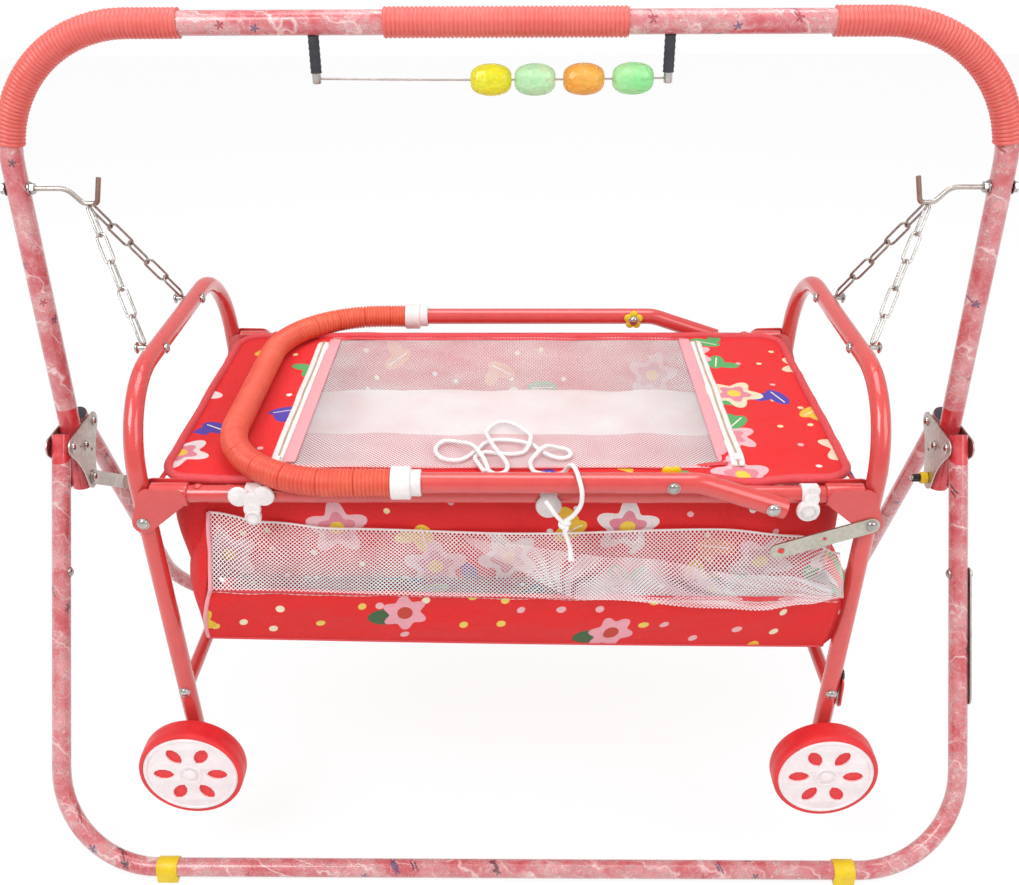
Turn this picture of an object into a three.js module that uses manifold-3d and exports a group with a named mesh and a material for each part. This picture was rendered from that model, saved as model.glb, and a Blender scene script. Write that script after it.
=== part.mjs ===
// Swing cradle bassinet: a folding tube stand, a hanging cradle on wheels, and its cloth parts.
// Millimetres, X to the right, Y to the back, Z up. The origin is on the floor, under the middle of the arch.

import * as THREE from "three";
import { mergeVertices } from "three/addons/utils/BufferGeometryUtils.js";
import Module from "manifold-3d";

const wasm = await Module();
wasm.setup();

// Fits
const seat_gap = 0.3; // between pieces that touch
const overrun = 2; // how far a cutter runs past what it cuts
const weld = 0.6; // how far joined solids run into each other

// Stand
const arch_half_width = 545;
const arch_top_z = 947;
const arch_corner = 150;
const arch_foot_z = 391;
const arch_diameter = 25.4;
const tube_wall = 1.2;
const leg_diameter = 22.2;
const leg_pivot_y = 36;
const leg_pivot_z = 465;
const leg_lean_deg = 28;
const leg_corner = 120;
const leg_top_run = 16;
const floor_bar_z = 13;
const arch_bolt_z = 449;
const lock_bolt_z = 403;

// Hinge hardware
const plate_thickness = 2;
const bolt_diameter = 6;
const bolt_head_diameter = 12;
const bolt_head_height = 4;

// Hooks
const hook_under_corner = 23;
const hook_dip = 17;
const hook_reach = 77;
const hook_rod = 5.6;

// Cradle
const hoop_rail_x = 387;
const hoop_lean_deg = 2.3;
const hang = 142; // from the hooks' low points down to the hoops' bolts
const hoop_rise = 111; // of those bolts over the rails
const hoop_corner = 100;
const hoop_diameter = 20.5;
const rail_gap = 17; // between the basket's side and the rail's middle
const rail_diameter = 19;
const gusset_drop = 30;
const cross_tube_drop = 264;
const cross_tube_diameter = 16;
const chain_eye_y = 78;
const chain_eye_x = 405;
const chain_wire = 3;
const chain_links = 5;

// Wheels
const wheel_drop = 356;
const wheel_out = 35; // outside the rails
const wheel_diameter = 122;
const wheel_width = 27.5;
const axle_diameter = 8;

// Handle
const handle_out = 21; // outside the rails
const handle_diameter = 22;
const handle_pivot_x = 276;
const handle_rise = 26;
const handle_corner = 130;
const handle_end_x = 307;
const grip_diameter = 30;
const collar_front_x = 102;
const collar_rear_x = 130;

// Cloth parts
const basket_half_x = 366;
const basket_half_y = 193;
const basket_rise = 8; // of its brim over the rails
const basket_depth = 126;
const cloth = 2.5;
const cover_thickness = 2;
const mattress_height = 69;
const store_depth = 82;
const store_left_x = 342;
const store_right_x = 362;
const pocket_out = 21; // outside the rails
const pocket_lean = 24; // how far its foot stands back from its hem
const pocket_net_drop = 42;

const tube_sides = 8;
const arch_sides = 12;
const round_sides = 10;
const fine_sides = 16;
const bolt_sides = 6;
const hose_sides = 8;
const bend_steps = 6;

const hook_z = arch_top_z - arch_corner - hook_under_corner;
const hook_low_z = hook_z - hook_dip;
const hook_low_x = arch_half_width - hook_reach;
const hoop_top_z = hook_low_z - hang;
const rail_z = hoop_top_z - hoop_rise;
const gusset_pivot_z = rail_z - gusset_drop;
const cross_tube_z = rail_z - cross_tube_drop;
const wheel_z = rail_z - wheel_drop;
const handle_z = rail_z + handle_rise;
const basket_top_z = rail_z + basket_rise;
const basket_floor_z = basket_top_z - basket_depth;
const mattress_top_z = basket_floor_z + mattress_height;
const store_bottom_z = basket_floor_z - store_depth;
const pocket_net_top_z = rail_z - pocket_net_drop;
const rail_y = basket_half_y + rail_gap;
const wheel_y = rail_y + wheel_out;
const handle_y = rail_y + handle_out;
const pocket_y = rail_y + pocket_out;
const arch_radius = arch_diameter / 2;
const leg_radius = leg_diameter / 2;
const hoop_radius = hoop_diameter / 2;
const rail_radius = rail_diameter / 2;
const handle_radius = handle_diameter / 2;
const bolt_radius = bolt_diameter / 2;
const head_radius = bolt_head_diameter / 2;
const bolt_hole = (bolt_radius + seat_gap) / Math.cos(Math.PI / bolt_sides);
const leg_lean = THREE.MathUtils.degToRad(leg_lean_deg);
const hoop_lean = THREE.MathUtils.degToRad(hoop_lean_deg);
const leg_length = (leg_pivot_z - floor_bar_z) / Math.cos(leg_lean);

const point = (x, y, z) => new THREE.Vector3(x, y, z);
const flat = (x, y) => new THREE.Vector2(x, y);

// A route through given points, with one extrusion step for each stretch between two of them.
class Route extends THREE.Curve {
  constructor(points) {
    super();
    this.points = points;
  }
  getPoint(t) {
    const place = Math.min(Math.max(t, 0), 1) * (this.points.length - 1);
    const step = Math.min(Math.floor(place), this.points.length - 2);
    return this.points[step].clone().lerp(this.points[step + 1], place - step);
  }
  getUtoTmapping(u) {
    return u;
  }
}

// Points round a bend of a flat outline, from one heading to the next, without its two ends' straights.
function bend(centre, radius, from_deg, to_deg, steps = bend_steps) {
  return Array.from({ length: steps + 1 }, (_, i) => {
    const angle = THREE.MathUtils.degToRad(from_deg + ((to_deg - from_deg) * i) / steps);
    return flat(centre.x + radius * Math.cos(angle), centre.y + radius * Math.sin(angle));
  });
}

function circle(radius, sides) {
  return new THREE.Shape(bend(flat(0, 0), radius, 0, 360, sides).slice(0, -1));
}

function solid(geometry) {
  const bare = geometry.clone();
  bare.deleteAttribute("normal");
  bare.deleteAttribute("uv");
  const merged = mergeVertices(bare);
  return new wasm.Manifold(
    new wasm.Mesh({
      numProp: 3,
      vertProperties: merged.getAttribute("position").array,
      triVerts: new Uint32Array(merged.getIndex().array),
    }),
  );
}

const union = (solids) => solids.reduce((whole, next) => whole.add(next));
const cut = (body, cutters) => cutters.reduce((left, next) => left.subtract(next), body);

function bar(points, radius, sides = tube_sides) {
  const settings = { steps: points.length - 1, extrudePath: new Route(points), curveSegments: 1 };
  return solid(new THREE.ExtrudeGeometry(circle(radius, sides), settings));
}

function pipe(points, radius, wall, sides = tube_sides) {
  const last = points.length - 1;
  const start = points[0].clone().sub(points[1]).setLength(overrun).add(points[0]);
  const end = points[last].clone().sub(points[last - 1]).setLength(overrun).add(points[last]);
  const bore = bar([start, ...points.slice(1, last), end], radius - wall, sides / 2);
  return bar(points, radius, sides).subtract(bore);
}

// A round bar between two points, such as a bolt, a washer or the cutter of its hole.
function rod(from, to, radius, sides = bolt_sides) {
  const along = to.clone().sub(from);
  const turn = new THREE.Quaternion().setFromUnitVectors(point(0, 1, 0), along.clone().normalize());
  const geometry = new THREE.CylinderGeometry(radius, radius, along.length(), sides);
  geometry.applyQuaternion(turn);
  geometry.translate(...from.clone().add(to).multiplyScalar(1 / 2).toArray());
  return solid(geometry);
}

// An outline given in the two other axes, in their X, Y, Z order, made thick along one axis.
function slab(outline, axis, low, high, holes = []) {
  const shape = new THREE.Shape(outline);
  shape.holes = holes.map((hole) => new THREE.Path(hole));
  const geometry = new THREE.ExtrudeGeometry(shape, { depth: high - low, bevelEnabled: false });
  const [x, y, z] = [point(1, 0, 0), point(0, 1, 0), point(0, 0, 1)];
  const frames = { x: [y, z, x, low], y: [x, z, y.clone().negate(), -high], z: [x, y, z, low] };
  const [across, up, through, place] = frames[axis];
  geometry.translate(0, 0, place);
  geometry.applyMatrix4(new THREE.Matrix4().makeBasis(across, up, through));
  return solid(geometry);
}

const box = (low, high) =>
  slab(
    [flat(low[0], low[1]), flat(high[0], low[1]), flat(high[0], high[1]), flat(low[0], high[1])],
    "z",
    low[2],
    high[2],
  );

// The outline that a string pulled round some discs takes.
function lobes(discs, sides = round_sides) {
  const all = discs.flatMap(([x, y, radius]) => bend(flat(x, y), radius, 0, 360, sides).slice(0, -1));
  all.sort((a, b) => a.x - b.x || a.y - b.y);
  const half = (points) =>
    points.reduce((hull, next) => {
      while (hull.length > 1) {
        const [a, b] = hull.slice(-2);
        if ((b.x - a.x) * (next.y - a.y) - (b.y - a.y) * (next.x - a.x) > Number.EPSILON) break;
        hull.pop();
      }
      return [...hull, next];
    }, []);
  return [...half(all).slice(0, -1), ...half([...all].reverse()).slice(0, -1)];
}

// The faces between rings of points, each ring counter-clockwise as seen from the last one.
function wrap(rings, closed = false) {
  const count = rings[0].length;
  const stretches = closed ? rings.length : rings.length - 1;
  return Array.from({ length: stretches * count }, (_, i) => {
    const [ring, k] = [Math.floor(i / count), i % count];
    const [start, end] = [ring * count, ((ring + 1) % rings.length) * count];
    const next = (k + 1) % count;
    return [start + k, start + next, end + next, start + k, end + next, end + k];
  }).flat();
}

const meshed = (corners, faces) =>
  solid(new THREE.BufferGeometry().setFromPoints(corners).setIndex(faces));

// A closed skin over rings, with a fan at each end.
function skin(rings) {
  const count = rings[0].length;
  const middles = [rings[0], rings.at(-1)].map((ring) =>
    ring.reduce((sum, p) => sum.add(p), point(0, 0, 0)).multiplyScalar(1 / count),
  );
  const corners = [...rings.flat(), ...middles];
  const top = (rings.length - 1) * count;
  const fans = Array.from({ length: count }, (_, k) => {
    const next = (k + 1) % count;
    return [next, k, corners.length - 2, top + k, top + next, corners.length - 1];
  });
  return meshed(corners, [...wrap(rings), ...fans.flat()]);
}

// A wire bent into a closed flat ring.
function closedRing(points, normal, radius, sides) {
  const rings = points.map((p, i) => {
    const along = points[(i + 1) % points.length].clone().sub(points.at(i - 1)).normalize();
    const out = along.cross(normal);
    return bend(flat(0, 0), radius, 0, 360, sides)
      .slice(0, -1)
      .map((q) => p.clone().addScaledVector(out, q.x).addScaledVector(normal, -q.y));
  });
  return meshed(rings.flat(), wrap(rings, true));
}

// A corrugated hose that sits round a tube's route: ribs outside, a plain bore inside.
function ribbed(points, side, { valley, crest, bore, rib_pitch }) {
  const route = new Route(points);
  const stretches = points.length - 1;
  const counts = points.slice(1).map(
    (p, i) => Math.max(1, Math.round(p.distanceTo(points[i]) / rib_pitch)),
  );
  const ring = (t, radius) => {
    const along = route.getTangent(t);
    const up = side.clone().cross(along).normalize();
    return bend(flat(0, 0), radius, 0, 360, hose_sides)
      .slice(0, -1)
      .map(
        (p) => route.getPoint(t).addScaledVector(up, p.x).addScaledVector(along.clone().cross(up), p.y),
      );
  };
  const outside = counts.flatMap((count, i) =>
    Array.from(
      { length: 2 * count },
      (_, k) => [(i + (k + 1 / 2) / (2 * count)) / stretches, k % 2 ? crest : valley],
    ),
  );
  const shell = [[0, valley], ...outside, [1, valley]].map(([t, radius]) => ring(t, radius));
  const ahead = (at) => points.at(at).clone().sub(points.at(at ? -2 : 1)).setLength(overrun);
  const run = (at) => ahead(at).add(points.at(at));
  const inner = points.map((_, i) => ring(i / stretches, bore));
  const shift = (one, to, from) => one.map((p) => p.clone().add(to).sub(from));
  inner[0] = shift(inner[0], run(0), points[0]);
  inner[stretches] = shift(inner[stretches], run(-1), points.at(-1));
  return skin(shell).subtract(skin(inner));
}

const whole = new THREE.Group();
const finishes = {};
function finish(name, color, roughness, metalness) {
  finishes[name] = new THREE.MeshStandardMaterial({ name, color, roughness, metalness });
}
finish("frame_paint", 0xc9434a, 0.4, 0.1);
finish("wrapped_tube", 0xd9707a, 0.3, 0.1);
finish("coral_hose", 0xec5f52, 0.45, 0);
finish("orange_hose", 0xf07a50, 0.45, 0);
finish("steel", 0xa7a8a6, 0.35, 1);
finish("black_rubber", 0x1c1d20, 0.6, 0);
finish("yellow_plastic", 0xf2dc28, 0.4, 0);
finish("mint_plastic", 0x6fe0a4, 0.25, 0);
finish("orange_plastic", 0xff9a3d, 0.25, 0);
finish("green_plastic", 0x5ee585, 0.25, 0);
finish("red_cloth", 0xd2202c, 0.8, 0);
finish("white_net", 0xf0dfe0, 0.8, 0);
finish("pale_cloth", 0xdcd9d8, 0.9, 0);
finish("white_plastic", 0xeeeeee, 0.4, 0);
finish("red_plastic", 0xcf1f2a, 0.4, 0);
finish("pale_plastic", 0xe8e4e6, 0.35, 0);
finish("white_cord", 0xf6f6f6, 0.8, 0);

function add(name, made, slot) {
  const { vertProperties, triVerts } = made.getMesh();
  const geometry = new THREE.BufferGeometry();
  geometry.setAttribute("position", new THREE.BufferAttribute(vertProperties, 3));
  geometry.setIndex(new THREE.BufferAttribute(triVerts, 1));
  geometry.computeVertexNormals();
  const mesh = new THREE.Mesh(geometry, finishes[slot]);
  mesh.name = name;
  whole.add(mesh);
}

// Stand: arch

function archRoute() {
  const straight = arch_half_width - arch_corner;
  const shoulder = arch_top_z - arch_corner;
  const left = bend(flat(-straight, shoulder), arch_corner, 180, 90);
  const right = bend(flat(straight, shoulder), arch_corner, 90, 0);
  const outline = [
    flat(-arch_half_width, arch_foot_z), ...left, ...right, flat(arch_half_width, arch_foot_z),
  ];
  return outline.map((p) => point(p.x, 0, p.y));
}

function archTube() {
  const through = (z, radius) =>
    [-1, 1].map((side) =>
      rod(
        point(side * (arch_half_width - arch_diameter), 0, z),
        point(side * (arch_half_width + arch_diameter), 0, z),
        radius,
      ),
    );
  return cut(pipe(archRoute(), arch_radius, tube_wall, arch_sides), [
    ...through(arch_bolt_z, bolt_hole),
    ...through(lock_bolt_z, bolt_hole),
    ...through(hook_z, hook_rod / 2 + seat_gap),
  ]);
}

const hose_wall_share = 0.07;
const hoseBore = (radius) => (radius + seat_gap) / Math.cos(Math.PI / hose_sides);

function sleeve(points, rib_pitch) {
  const crest = 16.2;
  const bore = hoseBore(arch_radius);
  return ribbed(points, point(0, 1, 0), { valley: bore * (1 + hose_wall_share), crest, bore, rib_pitch });
}

function cornerSleeve(side) {
  const bar_run = 55;
  const start_share = 0.5;
  const rib_pitch = 16;
  const [below, ...bent] = archRoute().slice(1, 2 + bend_steps);
  const bar_end = point(arch_corner + bar_run - arch_half_width, 0, arch_top_z);
  const route = [below.lerp(bent[0], start_share), ...bent, bar_end].map(
    (p) => point(-side * p.x, p.y, p.z),
  );
  return sleeve(route, rib_pitch);
}

function centreSleeve() {
  const half_length = 127;
  const rib_pitch = 18;
  return sleeve([-half_length, 0, half_length].map((x) => point(x, 0, arch_top_z)), rib_pitch);
}

// Stand: hinge plates, with their bolts on the inner one

const plate_face = arch_radius + seat_gap;
const bolt_places = [
  [-leg_pivot_y, leg_pivot_z],
  [leg_pivot_y, leg_pivot_z],
  [0, arch_bolt_z],
  [0, lock_bolt_z],
];

function plateBlank(low_x, high_x) {
  const shoulder_radius = 12;
  const tip_radius = 14;
  const shoulders = [-1, 1].map((side) => [side * leg_pivot_y, leg_pivot_z, shoulder_radius]);
  const tip = [0, lock_bolt_z, tip_radius];
  return slab(lobes([...shoulders, tip]), "x", low_x, high_x);
}

function atSide(side, made) {
  return side > 0 ? made : made.mirror([1, 0, 0]);
}

// Built for the right side: inward is towards lower X.
function innerPlate(side) {
  const inner_x = arch_half_width - plate_face - plate_thickness;
  const outer_x = arch_half_width + plate_face + plate_thickness;
  const blank = plateBlank(inner_x, inner_x + plate_thickness);
  const bolts = bolt_places.flatMap(([y, z], i) => {
    const is_lock = i === bolt_places.length - 1;
    if (is_lock && side > 0) return [];
    const head_x = inner_x - bolt_head_height - (is_lock ? plate_thickness + 2 * seat_gap : 0);
    const nut_x = outer_x + seat_gap;
    return [
      rod(point(head_x, y, z), point(nut_x + bolt_head_height, y, z), bolt_radius),
      rod(point(head_x, y, z), point(head_x + bolt_head_height, y, z), head_radius),
      rod(point(nut_x, y, z), point(nut_x + bolt_head_height, y, z), head_radius, bolt_sides),
    ];
  });
  if (side < 0) return atSide(side, union([blank, ...bolts]));
  const hole = rod(
    point(inner_x - overrun, 0, lock_bolt_z), point(arch_half_width, 0, lock_bolt_z), bolt_hole,
  );
  return union([blank, ...bolts]).subtract(hole);
}

function outerPlate(side) {
  const low_x = arch_half_width + plate_face;
  const holes = bolt_places.map(([y, z]) =>
    rod(point(low_x - overrun, y, z), point(low_x + plate_thickness + overrun, y, z), bolt_hole),
  );
  return atSide(side, cut(plateBlank(low_x, low_x + plate_thickness), holes));
}

function lockPin() {
  const pin_end_x = arch_half_width - arch_radius + tube_wall * 2;
  const collar_x = arch_half_width - plate_face - plate_thickness - seat_gap;
  const knob_length = 9;
  const knob_radius = 7.5;
  const stem_length = 12;
  return union([
    rod(
      point(collar_x - knob_length - stem_length, 0, lock_bolt_z),
      point(pin_end_x, 0, lock_bolt_z),
      bolt_radius,
    ),
    rod(
      point(collar_x - knob_length, 0, lock_bolt_z),
      point(collar_x, 0, lock_bolt_z),
      knob_radius,
      round_sides,
    ),
  ]);
}

// Stand: folding leg frames, made for the front one and mirrored for the rear one

// A point of the leaning leg frame, from its distance below the pivots.
function onLeg(x, below, off = 0) {
  const y = -leg_pivot_y - below * Math.sin(leg_lean) - off * Math.cos(leg_lean);
  return point(x, y, leg_pivot_z - below * Math.cos(leg_lean) + off * Math.sin(leg_lean));
}

const stay_stud_run = 150;
const strap_bolt_run = 152;

function legTube(is_front) {
  const straight = arch_half_width - leg_corner;
  const low = leg_length - leg_corner;
  const outline = [
    flat(-arch_half_width, -leg_top_run),
    ...bend(flat(-straight, low), leg_corner, 180, 90),
    ...bend(flat(straight, low), leg_corner, 90, 0),
    flat(arch_half_width, -leg_top_run),
  ];
  const tube = pipe(outline.map((p) => onLeg(p.x, p.y)), leg_radius, tube_wall);
  const plug_length = 6;
  const plugs = [-1, 1].map((side) =>
    rod(
      onLeg(side * arch_half_width, -leg_top_run + weld),
      onLeg(side * arch_half_width, -leg_top_run - plug_length),
      leg_radius,
      round_sides,
    ),
  );
  const reach = arch_diameter;
  const holes = [-1, 1].map((side) => {
    const at = onLeg(0, 0);
    const [near, far] = [arch_half_width - reach, arch_half_width + reach].map(
      (x) => point(side * x, at.y, at.z),
    );
    return rod(near, far, bolt_hole);
  });
  const studs = is_front ? [] : [stayStud()];
  const bolts = is_front ? [-1, 1].map(strapBolt) : [];
  const made = cut(union([tube, ...plugs]), holes);
  return union([made, ...studs, ...bolts]);
}

// The stud that the left brace strap hooks over, on the inner side of the rear leg.
function stayStud() {
  const at = onLeg(-arch_half_width, stay_stud_run);
  const inner_x = -arch_half_width + leg_radius - weld - tube_wall;
  const strap_x = -arch_half_width + plate_face + plate_thickness;
  const head_x = strap_x + plate_thickness + 2 * seat_gap;
  return union([
    rod(point(inner_x, at.y, at.z), point(head_x + bolt_head_height, at.y, at.z), bolt_radius),
    rod(point(head_x, at.y, at.z), point(head_x + bolt_head_height, at.y, at.z), head_radius),
  ]);
}

// The bolt on the outer side of each front leg; the right one carries the hanging strap.
function strapBolt(side) {
  const at = onLeg(0, strap_bolt_run);
  const skin_x = arch_half_width + leg_radius;
  const head_x = skin_x + 3 * seat_gap + plate_thickness;
  return union([
    rod(
      point(side * (skin_x - weld - tube_wall), at.y, at.z),
      point(side * (head_x + bolt_head_height), at.y, at.z),
      bolt_radius,
    ),
    rod(
      point(side * head_x, at.y, at.z),
      point(side * (head_x + bolt_head_height), at.y, at.z),
      head_radius,
    ),
  ]);
}

function footBand(side) {
  const left_run = 12;
  const right_run = 19;
  const band_x = arch_half_width - leg_corner - (side < 0 ? left_run : right_run);
  const half_length = 12.5;
  const band_wall = 1.6;
  const inside = leg_radius + seat_gap;
  const at = onLeg(0, leg_length);
  const outside = inside + band_wall;
  const round = bend(flat(at.y, at.z), outside, 0, 180, round_sides / 2);
  const outline = [...round, flat(at.y - outside, 0), flat(at.y + outside, 0)];
  const [low, high] = [side * band_x - half_length, side * band_x + half_length];
  const bore = rod(
    point(low - overrun, at.y, at.z),
    point(high + overrun, at.y, at.z),
    inside / Math.cos(Math.PI / round_sides),
    round_sides,
  );
  return slab(outline, "x", low, high).subtract(bore);
}

const mirrorBack = (made) => made.mirror([0, 1, 0]);

// The left brace strap: it turns on the plate's lower bolt and hooks over the rear leg's stud.
function stayStrap() {
  const strap_radius = 9;
  const stud = mirrorPoint(onLeg(0, stay_stud_run));
  const pivot = flat(0, lock_bolt_z);
  const face_x = -arch_half_width + plate_face + plate_thickness + seat_gap;
  const end_x = face_x + plate_thickness;
  const blank = slab(
    lobes([[pivot.x, pivot.y, strap_radius], [stud.y, stud.z, strap_radius]]), "x", face_x, end_x,
  );
  const pivot_hole = rod(
    point(face_x - overrun, pivot.x, pivot.y), point(end_x + overrun, pivot.x, pivot.y), bolt_hole,
  );
  const away = flat(-Math.cos(leg_lean), -Math.sin(leg_lean)).multiplyScalar(2 * strap_radius);
  const notch_radius = bolt_radius + 2 * seat_gap;
  const notch = slab(
    lobes([[stud.y, stud.z, notch_radius], [stud.y + away.x, stud.z + away.y, notch_radius + seat_gap]]),
    "x",
    face_x - overrun,
    end_x + overrun,
  );
  return cut(blank, [pivot_hole, notch]);
}

const mirrorPoint = (p) => point(p.x, -p.y, p.z);

function sideStrap() {
  const strap_length = 150;
  const strap_radius = 8;
  const face_x = arch_half_width + leg_radius + seat_gap;
  const upper = onLeg(0, strap_bolt_run);
  const lower = onLeg(0, strap_bolt_run + strap_length);
  const blank = slab(
    lobes([[upper.y, upper.z, strap_radius], [lower.y, lower.z, strap_radius]]),
    "x",
    face_x,
    face_x + plate_thickness,
  );
  const [near, far] = [face_x - overrun, face_x + plate_thickness + overrun];
  const holes = [upper, lower].map(
    (at) => rod(point(near, at.y, at.z), point(far, at.y, at.z), bolt_hole),
  );
  return cut(blank, holes);
}

// Hooks and toy bar

function hook(side) {
  const outer_x = arch_half_width + arch_radius;
  const bend_run = 23;
  const low_half = 7;
  const tip_run = 15;
  const tip_rise = 12;
  const radius = hook_rod / 2;
  const washer_radius = 8;
  const washer = 1.5;
  const nut = 4.5;
  const flanges = [arch_half_width - arch_radius - seat_gap, outer_x + seat_gap];
  const away = [-1, 1];
  const route = [
    point(outer_x + nut + washer + overrun, 0, hook_z),
    point(hook_low_x + bend_run, 0, hook_z),
    point(hook_low_x + low_half, 0, hook_low_z),
    point(hook_low_x - low_half, 0, hook_low_z),
    point(hook_low_x - tip_run, 0, hook_z + tip_rise),
  ];
  const rings = flanges.flatMap((x, i) => [
    rod(point(x, 0, hook_z), point(x + away[i] * washer, 0, hook_z), washer_radius, round_sides),
    rod(
      point(x + away[i] * (washer - weld), 0, hook_z),
      point(x + away[i] * (washer + nut), 0, hook_z),
      head_radius,
      bolt_sides,
    ),
  ]);
  return atSide(side, union([bar(route, radius, bolt_sides), ...rings]));
}

const post_left_x = 201;
const post_right_x = 171;
const bead_radius = 16.5;
const post_drop = 50; // of the posts' black ends under the arch's middle line
const wire_drop = 6;
const post_foot_z = arch_top_z - post_drop;
const wire_sag = 1.5;
const wire_radius = 1.1;

// The height of the sagging wire at a place along it.
function wireZ(x) {
  const off_middle = x + (post_left_x - post_right_x) / 2;
  const turn = (Math.PI * off_middle) / (post_left_x + post_right_x);
  return post_foot_z - wire_drop - wire_sag * Math.cos(turn);
}

function toyBar() {
  const post_radius = 6;
  const tip_radius = 4.5;
  const tip_drop = 11;
  const top_z = arch_top_z - arch_radius - seat_gap;
  const posts = [-post_left_x, post_right_x].flatMap((x) => [
    rod(point(x, 0, post_foot_z - weld), point(x, 0, top_z), post_radius, round_sides),
    rod(point(x, 0, post_foot_z - tip_drop), point(x, 0, post_foot_z), tip_radius),
  ]);
  const wire_steps = 8;
  const span = post_left_x + post_right_x;
  const wire = Array.from({ length: wire_steps + 1 }, (_, i) => (span * i) / wire_steps - post_left_x);
  return union([...posts, bar(wire.map((x) => point(x, 0, wireZ(x))), wire_radius, bolt_sides)]);
}

function bead(x) {
  const half_length = 22;
  const bore = wire_radius + 2 * seat_gap;
  const shares = [1, 0.72, 0];
  const profile = [flat(bore, -half_length), flat(bore, half_length)];
  const outside = [-1, 1].flatMap((side) => {
    const part = shares.map(
      (share) => flat(bead_radius * Math.sqrt(1 - (share * share) / 1.25), side * share * half_length),
    );
    return side < 0 ? part : part.slice(0, -1).reverse();
  });
  const round = [...outside, ...profile.reverse(), outside[0]];
  const geometry = new THREE.LatheGeometry(round, round_sides);
  geometry.rotateZ(-Math.PI / 2);
  geometry.translate(x, 0, wireZ(x));
  return solid(geometry);
}

// Cradle frame: the end hoops, which are also the legs

// A point in the leaning plane of a hoop, at a height.
const hoopX = (z) => hoop_rail_x + (z - rail_z) * Math.tan(hoop_lean);
const hoop_foot_drop = 15;
const hoop_foot_z = wheel_z - hoop_foot_drop;

function hoop(side) {
  const straight_y = rail_y - hoop_corner;
  const shoulder = hoop_top_z - hoop_corner;
  const outline = [
    flat(-rail_y, hoop_foot_z),
    ...bend(flat(-straight_y, shoulder), hoop_corner, 180, 90),
    ...bend(flat(straight_y, shoulder), hoop_corner, 90, 0),
    flat(rail_y, hoop_foot_z),
  ];
  const tube = pipe(outline.map((p) => point(hoopX(p.y), p.x, p.y)), hoop_radius, tube_wall);
  const across = (y, z, radius) =>
    rod(point(hoopX(z), y - hoop_diameter, z), point(hoopX(z), y + hoop_diameter, z), radius);
  const holes = [-rail_y, rail_y].flatMap((y) => [
    across(y, gusset_pivot_z, bolt_hole),
    across(y, cross_tube_z, bolt_hole),
    across(y, wheel_z, axle_diameter / 2 + seat_gap),
  ]);
  const top_x = hoopX(hoop_top_z);
  const eye_nut_x = chain_eye_x + head_radius * (3 / 2);
  const eyes = [-chain_eye_y, chain_eye_y].flatMap((y) => [
    rod(
      point(top_x - hoop_radius - bolt_head_height, y, hoop_top_z),
      point(eye_nut_x, y, hoop_top_z),
      bolt_radius,
    ),
    rod(
      point(top_x - hoop_radius - bolt_head_height, y, hoop_top_z),
      point(top_x - hoop_radius + weld, y, hoop_top_z),
      head_radius,
    ),
    rod(
      point(eye_nut_x - weld, y, hoop_top_z),
      point(eye_nut_x + bolt_head_height, y, hoop_top_z),
      head_radius,
    ),
  ]);
  return atSide(side, union([cut(tube, holes), ...eyes]));
}

// A side rail with the forked gussets that it is bolted to the hoops by.
function rail(back) {
  const sleeve_radius = 12.2;
  const sleeve_length = 40;
  const fork_near = rail_y - hoop_radius - seat_gap;
  const fork_far = rail_y + hoop_radius + seat_gap;
  const end_x = hoopX(rail_z - sleeve_radius) - hoop_radius - seat_gap;
  const lobe_radius = 12;
  const arm_x = end_x - sleeve_length;
  const tube = pipe(
    [point(-end_x, -rail_y, rail_z), point(end_x, -rail_y, rail_z)], rail_radius, tube_wall,
  );
  const pivot_x = hoopX(gusset_pivot_z);
  const ends = [-1, 1].flatMap((side) => {
    const outline = lobes([
      [side * pivot_x, gusset_pivot_z, lobe_radius],
      [side * (arm_x + sleeve_radius), rail_z, sleeve_radius],
      [side * end_x, rail_z, sleeve_radius],
    ]);
    const forks = [[-fork_near, -fork_near + plate_thickness], [-fork_far - plate_thickness, -fork_far]];
    const sleeve_end = rod(
      point(side * arm_x, -rail_y, rail_z),
      point(side * end_x, -rail_y, rail_z),
      sleeve_radius,
      round_sides,
    );
    const head = fork_far + plate_thickness;
    const strap_room = plate_thickness + 2 * seat_gap;
    return [
      ...forks.map(([low, high]) => slab(outline, "y", low, high)),
      sleeve_end,
      rod(
        point(side * pivot_x, -fork_near + plate_thickness + bolt_head_height, gusset_pivot_z),
        point(side * pivot_x, -head - strap_room - bolt_head_height, gusset_pivot_z),
        bolt_radius,
      ),
      rod(
        point(side * pivot_x, -fork_near + plate_thickness - weld, gusset_pivot_z),
        point(side * pivot_x, -fork_near + plate_thickness + bolt_head_height, gusset_pivot_z),
        head_radius,
      ),
      rod(
        point(side * pivot_x, -head - strap_room, gusset_pivot_z),
        point(side * pivot_x, -head - strap_room - bolt_head_height, gusset_pivot_z),
        head_radius,
      ),
    ];
  });
  const handle_bolt_end = handle_y + handle_radius + seat_gap;
  const handle_bolt = [
    rod(
      point(handle_pivot_x, -rail_y + rail_radius - tube_wall, rail_z),
      point(handle_pivot_x, -handle_bolt_end - bolt_head_height, rail_z),
      bolt_radius,
    ),
    rod(
      point(handle_pivot_x, -handle_bolt_end, rail_z),
      point(handle_pivot_x, -handle_bolt_end - bolt_head_height, rail_z),
      head_radius,
    ),
  ];
  const clear = [-1, 1].map((side) => {
    const bore_end = side * (end_x + overrun);
    return rod(
      point(side * (arm_x - overrun), -rail_y, rail_z),
      point(bore_end, -rail_y, rail_z),
      rail_radius - tube_wall,
    );
  });
  const made = union([cut(union([tube, ...ends]), clear), ...handle_bolt]);
  return back ? mirrorBack(made) : made;
}

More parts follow.
